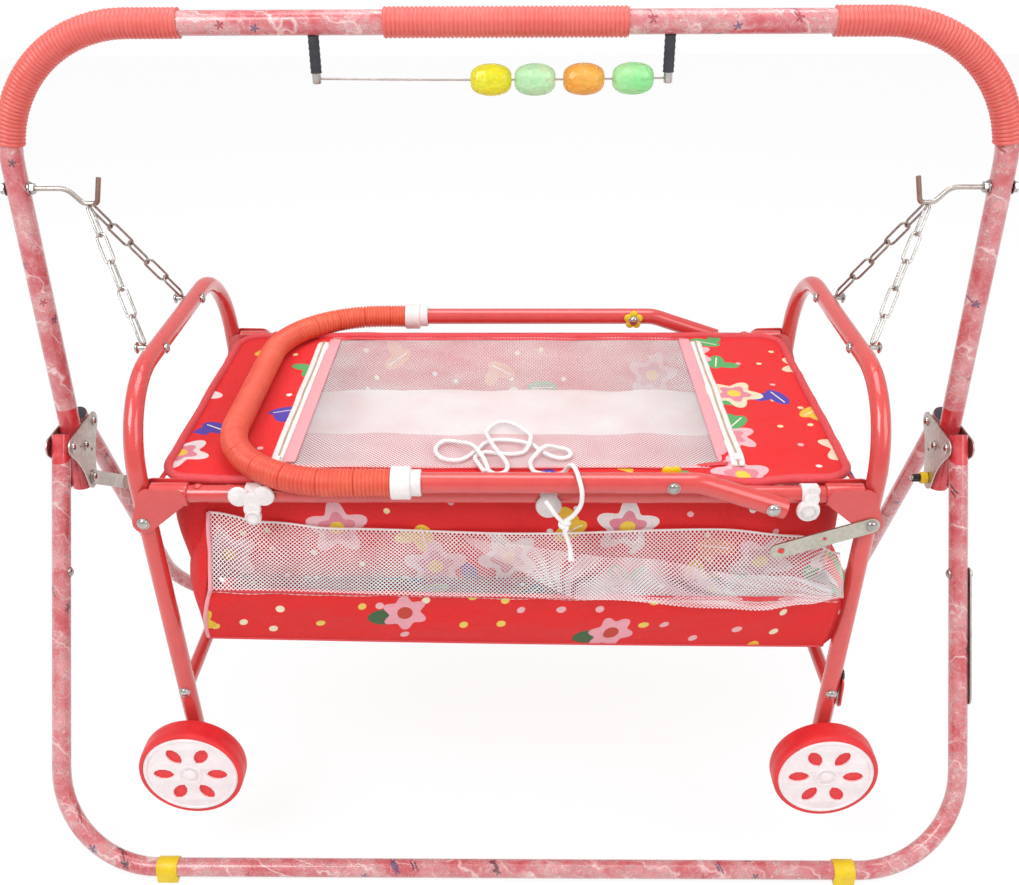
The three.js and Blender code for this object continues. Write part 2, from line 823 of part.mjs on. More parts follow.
function crossTube(side) {
  const inner_y = rail_y - hoop_radius - seat_gap;
  const x = hoopX(cross_tube_z);
  const outer_y = rail_y + hoop_radius + seat_gap;
  const tube = pipe(
    [point(x, -inner_y, cross_tube_z), point(x, inner_y, cross_tube_z)],
    cross_tube_diameter / 2,
    tube_wall,
  );
  const ends = [-1, 1].flatMap((end) => [
    rod(
      point(x, end * (inner_y - cross_tube_diameter), cross_tube_z),
      point(x, end * inner_y, cross_tube_z),
      cross_tube_diameter / 2 - weld,
      round_sides,
    ),
    rod(
      point(x, end * (inner_y - weld), cross_tube_z),
      point(x, end * (outer_y + bolt_head_height), cross_tube_z),
      bolt_radius,
    ),
    rod(
      point(x, end * outer_y, cross_tube_z),
      point(x, end * (outer_y + bolt_head_height), cross_tube_z),
      head_radius,
    ),
  ]);
  const vent = rod(
    point(x, 0, cross_tube_z - cross_tube_diameter), point(x, 0, cross_tube_z), bolt_radius / 2,
  );
  return atSide(side, union([tube, ...ends]).subtract(vent));
}

// Chains: each strand runs from its hook down to its eye bolt on the hoop

function chain(side, end) {
  const link_width = 14;
  const link_steps = 3;
  const wire_sides = 5;
  const wire = chain_wire / 2;
  const shift = chain_wire * 1.1;
  const hung = point(hook_low_x + end * shift, 0, hook_low_z);
  const held = point(chain_eye_x + wire, end * chain_eye_y, hoop_top_z);
  const drop = point(0, held.y - hung.y, held.z - hung.z).normalize();
  const top = hung.addScaledVector(drop, -hook_rod / 2 - wire);
  const foot = held.addScaledVector(drop, bolt_radius + wire + 3 * seat_gap);
  const axis = foot.clone().sub(top).normalize();
  const flat_way = point(0, 1, 0).addScaledVector(axis, -axis.y).normalize();
  const other_way = axis.clone().cross(flat_way);
  const turn = (link_width - chain_wire) / 2;
  const flat_drop = turn * (1 - Math.cos(Math.PI / 2 / link_steps));
  top.addScaledVector(axis, -flat_drop);
  foot.addScaledVector(axis, flat_drop);
  const shared = (chain_links - 1) * (chain_wire + 2 * flat_drop - weld);
  const pitch = (foot.distanceTo(top) + shared) / chain_links;
  const links = Array.from({ length: chain_links }, (_, i) => {
    const across = i % 2 ? other_way : flat_way;
    const start = i * (pitch - chain_wire - 2 * flat_drop + weld);
    const outline = [
      ...bend(flat(turn, 0), turn, 270, 90, link_steps),
      ...bend(flat(pitch - turn, 0), turn, 90, -90, link_steps),
    ];
    const points = outline.map((p) =>
      top.clone().addScaledVector(axis, start + p.x).addScaledVector(across, p.y),
    );
    return closedRing(points, axis.clone().cross(across), wire, wire_sides);
  });
  return atSide(side, union(links));
}

// Wheels and axles

function axle(side, end) {
  const x = hoopX(wheel_z);
  const inner_y = rail_y - hoop_radius - seat_gap;
  const outer_y = wheel_y + wheel_width / 2 + seat_gap;
  const spacer_y = rail_y + hoop_radius + seat_gap;
  const wheel_face = wheel_y - wheel_width / 2 - seat_gap;
  const spacer_radius = 7;
  const cap_radius = 7.5;
  const cap_height = 3;
  return union([
    rod(
      point(side * x, end * (inner_y - bolt_head_height), wheel_z),
      point(side * x, end * (outer_y + cap_height), wheel_z),
      axle_diameter / 2,
    ),
    rod(
      point(side * x, end * (inner_y - bolt_head_height), wheel_z),
      point(side * x, end * inner_y, wheel_z),
      spacer_radius,
      bolt_sides,
    ),
    rod(
      point(side * x, end * spacer_y, wheel_z), point(side * x, end * wheel_face, wheel_z), spacer_radius,
    ),
    rod(
      point(side * x, end * outer_y, wheel_z),
      point(side * x, end * (outer_y + cap_height), wheel_z),
      cap_radius,
    ),
  ]);
}

const wheel_rim_share = 0.91;
const disc_thickness = 2;
const wheel_bore = (axle_diameter / 2 + seat_gap / 3) / Math.cos(Math.PI / fine_sides);

// A lathed solid about a wheel's axis, from a closed profile of radius and distance out from its middle.
function turned(profile, side, end) {
  const geometry = new THREE.LatheGeometry([...profile, profile[0]], fine_sides);
  if (end < 0) geometry.rotateX(Math.PI);
  geometry.translate(side * hoopX(wheel_z), end * wheel_y, wheel_z);
  return solid(geometry);
}

function wheelTyre(side, end) {
  const half = wheel_width / 2;
  const radius = wheel_diameter / 2;
  const rim = radius * wheel_rim_share;
  const shoulder = 2.5;
  const web = 4;
  const hub = 11;
  const recess = disc_thickness + seat_gap;
  const well = rim * wheel_rim_share;
  return turned(
    [
      flat(wheel_bore, -half),
      flat(hub, -half),
      flat(hub, half - recess - web),
      flat(well, half - recess - web),
      flat(well, -half),
      flat(radius - shoulder, -half),
      flat(radius, -half + shoulder),
      flat(radius, half - shoulder),
      flat(radius - shoulder, half),
      flat(rim + seat_gap, half),
      flat(rim + seat_gap, half - recess),
      flat(wheel_bore, half - recess),
    ],
    side,
    end,
  );
}

function wheelDisc(side, end) {
  const leaves = 6;
  const leaf_in_share = 0.36;
  const leaf_out_share = 0.78;
  const leaf_width_share = 0.12;
  const rim = (wheel_diameter / 2) * wheel_rim_share;
  const leaf_outline = [
    [leaf_in_share, 0],
    [(2 * leaf_in_share + leaf_out_share) / 3, leaf_width_share * 0.8],
    [(leaf_in_share + 3 * leaf_out_share) / 4, leaf_width_share],
    [leaf_out_share, 0],
    [(leaf_in_share + 3 * leaf_out_share) / 4, -leaf_width_share],
    [(2 * leaf_in_share + leaf_out_share) / 3, -leaf_width_share * 0.8],
  ];
  const centre = flat(side * hoopX(wheel_z), wheel_z);
  const holes = Array.from({ length: leaves }, (_, i) => {
    const turn = (2 * Math.PI * i) / leaves;
    return leaf_outline.map(
      ([r, w]) => flat(r * rim, w * rim).rotateAround(flat(0, 0), turn).add(centre),
    );
  });
  const bore_radius = (axle_diameter / 2 + seat_gap) / Math.cos(Math.PI / bolt_sides);
  const bore = bend(centre, bore_radius, 0, 360, bolt_sides).slice(0, -1);
  const outline = bend(centre, rim, 0, 360, fine_sides).slice(0, -1);
  const face = wheel_y + wheel_width / 2;
  const [low, high] = [face - disc_thickness, face].map((y) => end * y).sort((a, b) => a - b);
  return slab(outline, "y", low, high, [...holes, bore]);
}

// Cloth parts

function rounded(half_x, half_y, radius, shift_y = 0, steps = 3) {
  const [x, y] = [half_x - radius, half_y - radius];
  return [
    ...bend(flat(x, y + shift_y), radius, 0, 90, steps),
    ...bend(flat(-x, y + shift_y), radius, 90, 180, steps),
    ...bend(flat(-x, -y + shift_y), radius, 180, 270, steps),
    ...bend(flat(x, -y + shift_y), radius, 270, 360, steps),
  ];
}

const level = (outline, z) => outline.map((p) => point(p.x, p.y, z));
const basket_corner = 24;

function basketBody() {
  const outer = rounded(basket_half_x, basket_half_y, basket_corner);
  const inner = rounded(basket_half_x - cloth, basket_half_y - cloth, basket_corner - cloth);
  const shell = slab(outer, "z", basket_floor_z, basket_top_z);
  return shell.subtract(slab(inner, "z", basket_floor_z + cloth, basket_top_z + overrun));
}

function mattress() {
  const inset = 8;
  const crown = 9;
  const low = basket_floor_z + cloth + seat_gap;
  const half = [basket_half_x - cloth - inset, basket_half_y - cloth - inset];
  const edge = mattress_top_z - crown;
  const layers = [
    [1 - 0.02, low],
    [1, low + crown],
    [1, edge - crown],
    [1 - 0.02, edge],
    [0.85, mattress_top_z - crown / 3],
    [0.5, mattress_top_z],
  ];
  return skin(
    layers.map(
      ([share, z]) => level(rounded(half[0] * share, half[1] * share, basket_corner * share), z),
    ),
  );
}

// The store under the bed: a floor, a back, a right end and a low front; its left end is open.
function storageBasket() {
  const top = basket_floor_z - seat_gap;
  const back_y = basket_half_y - cloth;
  const front_foot_y = pocket_y - pocket_lean;
  const outside = [
    flat(-pocket_y, top),
    flat(-front_foot_y, store_bottom_z),
    flat(back_y, store_bottom_z),
    flat(back_y, top),
  ];
  const inside = [
    flat(-pocket_y + cloth, top + overrun),
    flat(-front_foot_y + cloth, store_bottom_z + cloth),
    flat(back_y - cloth, store_bottom_z + cloth),
    flat(back_y - cloth, top + overrun),
  ];
  const shell = slab(outside, "x", -store_left_x, store_right_x);
  return shell.subtract(slab(inside, "x", -store_left_x - overrun, store_right_x - cloth));
}

// A thin sheet over a grid of places, with both its faces cut along the same diagonals.
function gridSheet(at, across, down) {
  const index = (face, [i, k]) => (face * (across + 1) + i) * (down + 1) + k;
  const corners = [0, 1].flatMap((face) =>
    Array.from(
      { length: (across + 1) * (down + 1) },
      (_, n) => at(Math.floor(n / (down + 1)), n % (down + 1), face),
    ),
  );
  const faces = Array.from({ length: across * down }, (_, n) => {
    const [i, k] = [Math.floor(n / down), n % down];
    const cell = [[i, k], [i + 1, k], [i + 1, k + 1], [i, k + 1]];
    const [a, b, c, d] = cell.map((p) => index(0, p));
    const [e, f, g, h] = cell.map((p) => index(1, p));
    return [a, c, b, a, d, c, e, f, g, e, g, h];
  });
  const edge = [
    ...Array.from({ length: across }, (_, i) => [i, 0]),
    ...Array.from({ length: down }, (_, k) => [across, k]),
    ...Array.from({ length: across }, (_, i) => [across - i, down]),
    ...Array.from({ length: down }, (_, k) => [0, down - k]),
  ];
  const rim = edge.flatMap((p, n) => {
    const next = edge[(n + 1) % edge.length];
    return [index(0, p), index(1, next), index(1, p), index(0, p), index(0, next), index(1, next)];
  });
  return meshed(corners, [...faces.flat(), ...rim]);
}

// The drooping net of the front pocket: it leaves the basket's front and falls in folds to the pocket's edge.
function pocketNet() {
  const folds = 7;
  const across = 4 * folds;
  const down = 5;
  const fold_depth = 5;
  const slump = 10;
  const thickness = 1;
  const low_z = basket_floor_z + seat_gap;
  const top_y = basket_half_y + thickness + seat_gap + fold_depth;
  const at = (i, k, face) => {
    const [u, v] = [i / across, k / down];
    const x = -store_left_x + overrun + (store_left_x + store_right_x - 2 * overrun) * u;
    const wave = fold_depth * Math.sin(2 * Math.PI * folds * u) * Math.sin(Math.PI * v);
    const y = -top_y - (pocket_y - thickness - top_y) * v + slump * v * (1 - v) + wave * v;
    return point(x, y + face * thickness, pocket_net_top_z + (low_z - pocket_net_top_z) * v);
  };
  return gridSheet(at, across, down);
}

const side_border = 130;
const front_border = 27;
const back_border = 9;
const window_half_x = basket_half_x - side_border;
const window_front_y = basket_half_y - front_border;
const window_back_y = basket_half_y - back_border;
const window_shift = (window_back_y - window_front_y) / 2;
const window_half_y = (window_back_y + window_front_y) / 2;
const cover_z = basket_top_z + seat_gap;

function topCover() {
  const outline = rounded(basket_half_x, basket_half_y, basket_corner);
  const opening = rounded(window_half_x, window_half_y, basket_corner / 2, window_shift, 1).reverse();
  return slab(outline, "z", cover_z, cover_z + cover_thickness, [opening]);
}

function coverNet() {
  const lap = 7;
  const border = 16;
  const columns = 8;
  const rows = 6;
  const strand = 5;
  const thickness = 1.2;
  const outline = rounded(window_half_x + lap, window_half_y + lap, basket_corner / 2, window_shift, 1);
  const [left, right] = [-window_half_x + border, window_half_x - border];
  const [front, back] = [window_shift - window_half_y + border, window_shift + window_half_y - border];
  const cell = [(right - left + strand) / columns, (back - front + strand) / rows];
  const low = cover_z + cover_thickness + seat_gap;
  const holes = Array.from({ length: columns * rows }, (_, i) => {
    const [x, y] = [left + (i % columns) * cell[0], front + Math.floor(i / columns) * cell[1]];
    return box(
      [x, y, low - overrun], [x + cell[0] - strand, y + cell[1] - strand, low + thickness + overrun],
    );
  });
  return cut(slab(outline, "z", low, low + thickness), holes);
}

// Handle: a bent tube outside the rails, with its grip hose, collars and washers

const handle_slope_x = 200;
const handle_tail = 14;
const flower_x = 172;
const flower_height = 5;

function handleRoute() {
  const bend_x = -handle_end_x + handle_corner;
  const straight_y = handle_y - handle_corner;
  const round = [
    ...bend(flat(bend_x, -straight_y), handle_corner, 270, 180),
    ...bend(flat(bend_x, straight_y), handle_corner, 180, 90),
  ].map((p) => point(p.x, p.y, handle_z));
  const slope = (handle_z - rail_z) / (handle_pivot_x - handle_slope_x);
  const arm = (end) => [
    point(handle_pivot_x + handle_tail, end * handle_y, rail_z - handle_tail * slope),
    point(handle_slope_x, end * handle_y, handle_z),
  ];
  return [...arm(-1), ...round, ...arm(1).reverse()];
}

function handleTube() {
  const reach = handle_diameter;
  const pivots = [-1, 1].map((end) => {
    const [near, far] = [handle_y - reach, handle_y + reach].map(
      (y) => point(handle_pivot_x, end * y, rail_z),
    );
    return rod(near, far, bolt_hole);
  });
  const bolts = [-1, 1].flatMap((end) => {
    const out = handle_y + handle_radius;
    const at = (y) => point(flower_x, end * y, handle_z);
    const inner = handle_y - handle_radius;
    const flower_room = flower_height + 2 * seat_gap;
    return [
      rod(at(out + bolt_head_height), at(inner - flower_room - bolt_head_height), bolt_radius),
      rod(at(out - weld), at(out + bolt_head_height), head_radius),
      rod(at(inner - flower_room), at(inner - flower_room - bolt_head_height), head_radius * (3 / 4)),
    ];
  });
  return union([cut(pipe(handleRoute(), handle_radius, tube_wall), pivots), ...bolts]);
}

const collar_length = 31;

function handleGrip() {
  const grip_start = collar_front_x + collar_length / 2;
  const grip_end = collar_rear_x + collar_length / 2;
  const rib_pitch = 20;
  const bore = hoseBore(handle_radius);
  const round = handleRoute().slice(2, -2);
  const points = [
    point(-grip_start, -handle_y, handle_z), ...round, point(-grip_end, handle_y, handle_z),
  ];
  const crest = grip_diameter / 2;
  return ribbed(points, point(0, 0, 1), { valley: bore * (1 + hose_wall_share), crest, bore, rib_pitch });
}

function collar(end) {
  const wide_radius = 17.5;
  const narrow_radius = 14;
  const wide_length = 20;
  const x = end < 0 ? collar_front_x : collar_rear_x;
  const from = -x - collar_length / 2 + seat_gap;
  const step = from + wide_length;
  const to = -x + collar_length / 2;
  const at = (place) => point(place, end * handle_y, handle_z);
  const bore = (handle_radius + seat_gap) / Math.cos(Math.PI / round_sides);
  const body = union([
    rod(at(from), at(step), wide_radius, round_sides),
    rod(at(step - weld), at(to), narrow_radius, round_sides),
  ]);
  return body.subtract(rod(at(from - overrun), at(to + overrun), bore, round_sides));
}

// Lock strap, on the outside of the right front gusset

function lockStrap() {
  const strap_length = 100;
  const strap_slope_deg = 19;
  const strap_radius = 9;
  const pivot_x = hoopX(gusset_pivot_z);
  const face_y = rail_y + hoop_radius + seat_gap + plate_thickness + seat_gap;
  const turn = THREE.MathUtils.degToRad(180 + strap_slope_deg);
  const end_x = pivot_x + strap_length * Math.cos(turn);
  const end_z = gusset_pivot_z + strap_length * Math.sin(turn);
  const blank = slab(
    lobes([[pivot_x, gusset_pivot_z, strap_radius], [end_x, end_z, strap_radius]]),
    "y",
    -face_y - plate_thickness,
    -face_y,
  );
  const [near, far] = [-face_y - plate_thickness - overrun, -face_y + overrun];
  const holes = [[pivot_x, gusset_pivot_z], [end_x, end_z]].map(
    ([x, z]) => rod(point(x, near, z), point(x, far, z), bolt_hole),
  );
  return cut(blank, holes);
}

// Plastic clips that hold the cloth to the front rail

const clip_left_inset = 100; // of each clip from its end of the basket
const clip_right_inset = 47;
const clip_left_half = [25, 13];
const clip_right_half = [12, 12];

function clip(x, plate_half) {
  const ring_inside = rail_radius + seat_gap;
  const ring_wall = 2;
  const half_length = 9;
  const plate_depth = 3;
  const button_radius = 7;
  const face_y = rail_y + ring_inside + ring_wall - weld;
  const ring = rod(
    point(x - half_length, -rail_y, rail_z),
    point(x + half_length, -rail_y, rail_z),
    ring_inside + ring_wall,
    round_sides,
  );
  const bore = rod(
    point(x - 2 * half_length, -rail_y, rail_z),
    point(x + 2 * half_length, -rail_y, rail_z),
    ring_inside / Math.cos(Math.PI / round_sides),
    round_sides,
  );
  const [half_x, half_z] = plate_half;
  const plate_z = rail_z - ring_wall;
  const outline = rounded(half_x, half_z, half_z * (3 / 4)).map((p) => flat(p.x + x, p.y + plate_z));
  const plate = slab(outline, "y", -face_y - plate_depth, -face_y);
  const button_face = -face_y - plate_depth - ring_wall;
  const button = rod(point(x, -face_y, plate_z), point(x, button_face, plate_z), button_radius, round_sides);
  return union([cut(ring, [bore]), plate, button]);
}

// The white drawstring: it lies on the net, crosses the handle's front arm and hangs down the front

const cord_radius = 2.4;
const cord_points = [
  [-23, -186, 517.2], [-31, -169, 518.6], [-34, -155, 518.6], [-24, -145, 518.6], [-8, -148, 518.6],
  [7, -149, 518.6], [20, -143, 519], [27, -123, 525], [22, -97, 519], [4, -74, 518.6],
  [-12, -74, 518.6], [-23, -97, 520], [-21, -121, 525], [-11, -151, 525], [-1, -168, 521],
  [1.5, -179, 518.6], [-2.5, -188, 517.5], [-11, -190.5, 517.2], [-18.5, -184.5, 518], [-21.5, -174.5, 520],
  [-27, -160, 523.5], [-38, -140, 525], [-56, -121, 519], [-71, -119, 518.6], [-79, -137, 518.6],
  [-71, -158, 518.6], [-52, -163, 518.6], [-37, -147, 518.6], [-21, -120, 518.6], [1, -116, 518.6],
  [26, -125, 518.6], [36, -138, 518.6], [46, -152, 519], [59, -158.5, 518.6], [68, -155, 518.6],
  [70.5, -147, 518.6], [66.5, -139, 519], [57.5, -137, 520], [43, -143, 525], [31, -155, 520],
  [26, -170, 518.6], [31, -186, 517.2], [48, -192, 517.5], [60, -200, 524], [66, -213, 540],
  [71, -229, 546.5], [75, -243, 541], [78, -248, 528], [77, -246, 512], [70, -243, 498],
  [61, -241, 488], [62, -241, 476], [67, -240, 459], [69, -240, 441],
];

function drawstring() {
  const curve = new THREE.CatmullRomCurve3(
    cord_points.map(([x, y, z]) => point(x, y, z)), false, "centripetal",
  );
  const steps = 62;
  const settings = { steps, extrudePath: curve, curveSegments: 1 };
  return solid(new THREE.ExtrudeGeometry(circle(cord_radius, hose_sides), settings));
}

const sides = { left: -1, right: 1 };
const ends = { front: -1, rear: 1 };

add("arch_tube", archTube(), "wrapped_tube");
add("sleeve_centre", centreSleeve(), "coral_hose");
add("toy_bar", toyBar(), "black_rubber");
const bead_places = { yellow: -16, mint: 30.5, orange: 82, green: 134 };
for (const [shade, x] of Object.entries(bead_places)) add(`bead_${shade}`, bead(x), `${shade}_plastic`);
for (const [name, side] of Object.entries(sides)) {
  add(`sleeve_${name}`, cornerSleeve(side), "coral_hose");
  add(`hook_${name}`, hook(side), "steel");
  add(`hinge_plate_inner_${name}`, innerPlate(side), "steel");
  add(`hinge_plate_outer_${name}`, outerPlate(side), "steel");
  add(`foot_band_front_${name}`, footBand(side), "yellow_plastic");
  add(`foot_band_rear_${name}`, mirrorBack(footBand(side)), "yellow_plastic");
  add(`hoop_${name}`, hoop(side), "frame_paint");
  add(`cross_tube_${name}`, crossTube(side), "frame_paint");
  for (const [place, end] of Object.entries(ends)) {
    add(`chain_${place}_${name}`, chain(side, end), "steel");
    add(`axle_${place}_${name}`, axle(side, end), "steel");
    add(`wheel_tyre_${place}_${name}`, wheelTyre(side, end), "red_plastic");
    add(`wheel_disc_${place}_${name}`, wheelDisc(side, end), "pale_plastic");
  }
}
add("lock_pin", lockPin(), "yellow_plastic");
add("front_leg_frame", legTube(true), "wrapped_tube");
add("rear_leg_frame", mirrorBack(legTube(false)), "wrapped_tube");
add("brace_strap", stayStrap(), "steel");
add("side_strap", sideStrap(), "steel");
add("rail_front", rail(false), "frame_paint");
add("rail_rear", rail(true), "frame_paint");
add("handle_tube", handleTube(), "frame_paint");
add("handle_grip", handleGrip(), "orange_hose");
add("collar_front", collar(-1), "white_plastic");
add("collar_rear", collar(1), "white_plastic");
add("lock_strap", lockStrap(), "steel");
add("basket_body", basketBody(), "red_cloth");
add("storage_basket", storageBasket(), "red_cloth");
add("mattress", mattress(), "pale_cloth");
add("top_cover", topCover(), "red_cloth");
add("cover_net", coverNet(), "white_net");
add("pocket_net", pocketNet(), "white_net");
add("drawstring", drawstring(), "white_cord");
add("clip_left", clip(clip_left_inset - basket_half_x, clip_left_half), "white_plastic");
add("clip_right", clip(basket_half_x - clip_right_inset, clip_right_half), "white_plastic");

export default whole;
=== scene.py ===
import math

import bmesh
import bpy
from mathutils import Matrix, Vector, noise


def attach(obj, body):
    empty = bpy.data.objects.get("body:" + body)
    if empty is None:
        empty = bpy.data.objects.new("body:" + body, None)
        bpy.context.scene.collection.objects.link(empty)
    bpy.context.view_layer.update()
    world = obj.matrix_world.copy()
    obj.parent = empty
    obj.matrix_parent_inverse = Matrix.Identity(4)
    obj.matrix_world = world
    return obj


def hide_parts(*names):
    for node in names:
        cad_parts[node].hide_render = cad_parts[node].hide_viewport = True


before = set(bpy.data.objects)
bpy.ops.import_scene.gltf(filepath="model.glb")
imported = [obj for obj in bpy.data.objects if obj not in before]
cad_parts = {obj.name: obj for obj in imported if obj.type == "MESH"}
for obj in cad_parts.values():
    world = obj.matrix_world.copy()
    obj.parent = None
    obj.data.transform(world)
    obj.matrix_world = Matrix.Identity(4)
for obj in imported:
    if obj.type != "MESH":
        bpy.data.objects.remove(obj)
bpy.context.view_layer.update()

scene = bpy.context.scene
scene.view_settings.view_transform = "Standard"

# Sizes in metres, as in the solids
arch_half = 0.545
arch_top = 0.947
arch_foot = 0.391
arch_bend = 0.15
arch_radius = 0.0127
leg_radius = 0.0111
leg_pivot = (0.036, 0.465)
leg_lean = math.radians(28)
leg_bend = 0.12
pin_z = 0.403
floor_bar_z = 0.013
hook_z = 0.774
hook_low = (0.468, 0.757)
wire_left = -0.201
wire_span = 0.372
hoop_radius = 0.01025
hoop_top = 0.615
hoop_foot = 0.133
cross_z = 0.24
chain_y = 0.078
rail_y = 0.21
rail_z = 0.504
rail_radius = 0.0095
gusset_z = 0.474
handle_y = 0.231
handle_z = 0.53
handle_radius = 0.011
handle_bolt_x = 0.172
wheel_z = 0.148
wheel_y = 0.245
wheel_half = 0.01375
wheel_radius = 0.061
basket_half = (0.366, 0.193)
basket_top = 0.513
basket_floor = 0.386
cover_z = 0.5135
window_half = (0.236, 0.175)
window_shift = 0.009
store_left, store_right = -0.342, 0.362
store_front, store_back = -0.207, 0.19
pocket_y = 0.231
pocket_limit, net_limit = -0.2335, -0.2348
store_foot, store_drop = 0.312, 0.01
cord_radius = 0.0024

# The radius and height of the bolts' heads in the bars and in the plates
bar_bolt = (0.0056, 0.0038)
plate_bolt = (0.0058, 0.004)

# The depth of the relief in metal and in cloth
fine_relief = 0.0001
cloth_relief = 0.0003

# The two sides, the two ends and the four corners by their signs
signs = (-1, 1)
side_names = {-1: "left", 1: "right"}
end_names = {-1: "front", 1: "rear"}
corner_names = {(side, end): f"{end_names[end]}_{side_names[side]}" for side in signs for end in signs}
full_turn = 2 * math.pi


# Camera


def make_camera():
    place = (0.01618, -1.19911, 1.09691)
    pitch, yaw, roll = (math.radians(a) for a in (28.23, 0.70, -0.29))
    ahead = Vector((-math.sin(yaw) * math.cos(pitch), math.cos(yaw) * math.cos(pitch), -math.sin(pitch)))
    right = Vector((math.cos(yaw), math.sin(yaw), 0))
    up = right.cross(ahead)
    right, up = math.cos(roll) * right + math.sin(roll) * up, math.cos(roll) * up - math.sin(roll) * right
    data = bpy.data.cameras.new("camera")
    data.sensor_width = 36
    data.lens = 38.49
    camera = bpy.data.objects.new("camera", data)
    camera.matrix_world = Matrix.Translation(place) @ Matrix((right, up, -ahead)).transposed().to_4x4()
    scene.collection.objects.link(camera)
    scene.camera = camera


make_camera()


# Shader graphs


def rgb(code):
    """A linear colour from a usual code of six hex digits."""
    parts = [int(code[i : i + 2], 16) / 255 for i in (0, 2, 4)]
    return tuple(p / 12.92 if p <= 0.04045 else ((p + 0.055) / 1.055) ** 2.4 for p in parts) + (1,)


class Graph:
    """A node tree written by short calls that give an output socket; a colour is given by its code."""

    def __init__(self, tree):
        self.tree = tree

    def add(self, kind, inputs=(), out=0, **settings):
        made = self.tree.nodes.new("ShaderNode" + kind)
        for label, value in settings.items():
            setattr(made, label, value)
        for label, value in dict(inputs).items():
            if isinstance(value, bpy.types.NodeSocket):
                self.tree.links.new(value, made.inputs[label])
            else:
                made.inputs[label].default_value = rgb(value) if isinstance(value, str) else value
        return made.outputs[out]

    def use(self, tree, out, **inputs):
        return self.add("Group", inputs, out, node_tree=tree)

    def math(self, operation, *values):
        return self.add("Math", dict(enumerate(values)), operation=operation)

    def plus(self, first, second):
        return self.math("ADD", first, second)

    def minus(self, first, second):
        return self.math("SUBTRACT", first, second)

    def times(self, first, second):
        return self.math("MULTIPLY", first, second)

    def below(self, value, limit):
        return self.math("LESS_THAN", value, limit)

    def off_middle(self, value):
        return self.math("ABSOLUTE", self.minus(value, 0.5))

    def vector(self, operation, *values):
        return self.add("VectorMath", dict(enumerate(values)), operation=operation)

    def far(self, way):
        return self.add("VectorMath", {0: way}, "Value", operation="LENGTH")

    def mix(self, share, first, second):
        return self.add("Mix", {0: share, 6: first, 7: second}, 2, data_type="RGBA")

    def parts(self, vector):
        return self.add("SeparateXYZ", {0: vector}).node.outputs

    def joined(self, x=0.0, y=0.0, z=0.0):
        return self.add("CombineXYZ", {0: x, 1: y, 2: z})

    def place(self):
        return self.add("TexCoord", out="Object")

    def noise(self, place, scale, detail=3.0, distortion=0.0):
        inputs = {"Vector": place, "Scale": scale, "Detail": detail, "Distortion": distortion}
        return self.add("TexNoise", inputs)

    def ramp(self, value, *stops, steps="LINEAR"):
        out = self.add("ValToRGB", {0: value})
        marks = out.node.color_ramp
        marks.interpolation = steps
        while len(marks.elements) < len(stops):
            marks.elements.new(1)
        for mark, (at, colour) in zip(marks.elements, stops):
            mark.position = at
            mark.color = rgb(colour) if isinstance(colour, str) else (colour, colour, colour, 1)
        return out

    def pick(self, chance, *stops):
        """One of several colours by chance, each from its own share on."""
        return self.ramp(chance, *stops, steps="CONSTANT")

    def blend(self, value, spread, code, dark):
        """Two tones by a value, with a soft edge round its middle."""
        return self.mix(self.ramp(value, (0.5 - spread, 0.0), (0.5 + spread, 1.0)), code, dark)

    def laid(self, under, tone, *masks):
        """A tone over another where every mask is on."""
        share = masks[0]
        for mask in masks[1:]:
            share = self.times(share, mask)
        return self.mix(share, under, tone)


def node_group(name, inputs, outputs, build):
    """A node group from its sockets' labels and kinds; build gives what goes to each output."""
    tree = bpy.data.node_groups.new(name, "ShaderNodeTree")
    for way, sockets in (("INPUT", inputs), ("OUTPUT", outputs)):
        for label, kind in sockets.items():
            tree.interface.new_socket(label, in_out=way, socket_type="NodeSocket" + kind)
    start = tree.nodes.new("NodeGroupInput")
    end = tree.nodes.new("NodeGroupOutput")
    for label, socket in build(Graph(tree), start.outputs).items():
        tree.links.new(socket, end.inputs[label])
    return tree


def grain(g, given):
    fine = g.noise(given["Place"], given["Scale"], 4)
    coarse = g.noise(given["Place"], g.times(given["Scale"], 0.12), 2)
    return {"Height": fine, "Shade": g.plus(g.times(fine, 0.4), g.times(coarse, 0.6))}


def weave(g, given):
    x, y, z = g.parts(given["Place"])

    def thread(way):
        return g.math("SINE", g.times(way, g.times(given["Threads"], full_turn)))

    over = g.times(thread(x), thread(g.plus(y, z)))
    slub = g.noise(given["Place"], 260.0, 2)
    return {"Height": g.plus(g.times(over, 0.5), slub), "Slub": slub}


def diamond_net(g, given):
    x, y = g.parts(given["Place"])[:2]
    lines = []
    for way in (g.plus(x, y), g.minus(x, y)):
        lines.append(g.off_middle(g.math("FRACT", g.math("DIVIDE", way, given["Pitch"]))))
    near = g.math("MINIMUM", *lines)
    return {"Alpha": g.below(near, given["Strand"]), "Height": g.minus(0.5, near)}


def spot(g, place, size, keep, seed):
    """Cells of one motif: the way from each cell's middle, its random numbers, and whether it is kept."""
    scaled = g.add("VectorMath", {0: place, "Scale": 1 / size}, operation="SCALE")
    moved = g.vector("ADD", scaled, (seed, seed * 1.7, 0))
    inputs = {"Vector": moved, "Scale": 1.0, "Randomness": 0.7}
    middle = g.add("TexVoronoi", inputs, "Position", voronoi_dimensions="2D")
    own = g.parts(middle.node.outputs["Color"])
    return g.vector("SUBTRACT", moved, middle), own, g.below(own[2], keep)


def petals(g, way, count, radius, depth, turn):
    x, y = g.parts(way)[:2]
    angle = g.plus(g.math("ARCTAN2", y, x), g.times(turn, 6.0))
    rim = g.plus(radius, g.times(g.math("COSINE", g.times(angle, count)), depth))
    return g.below(g.far(way), rim)


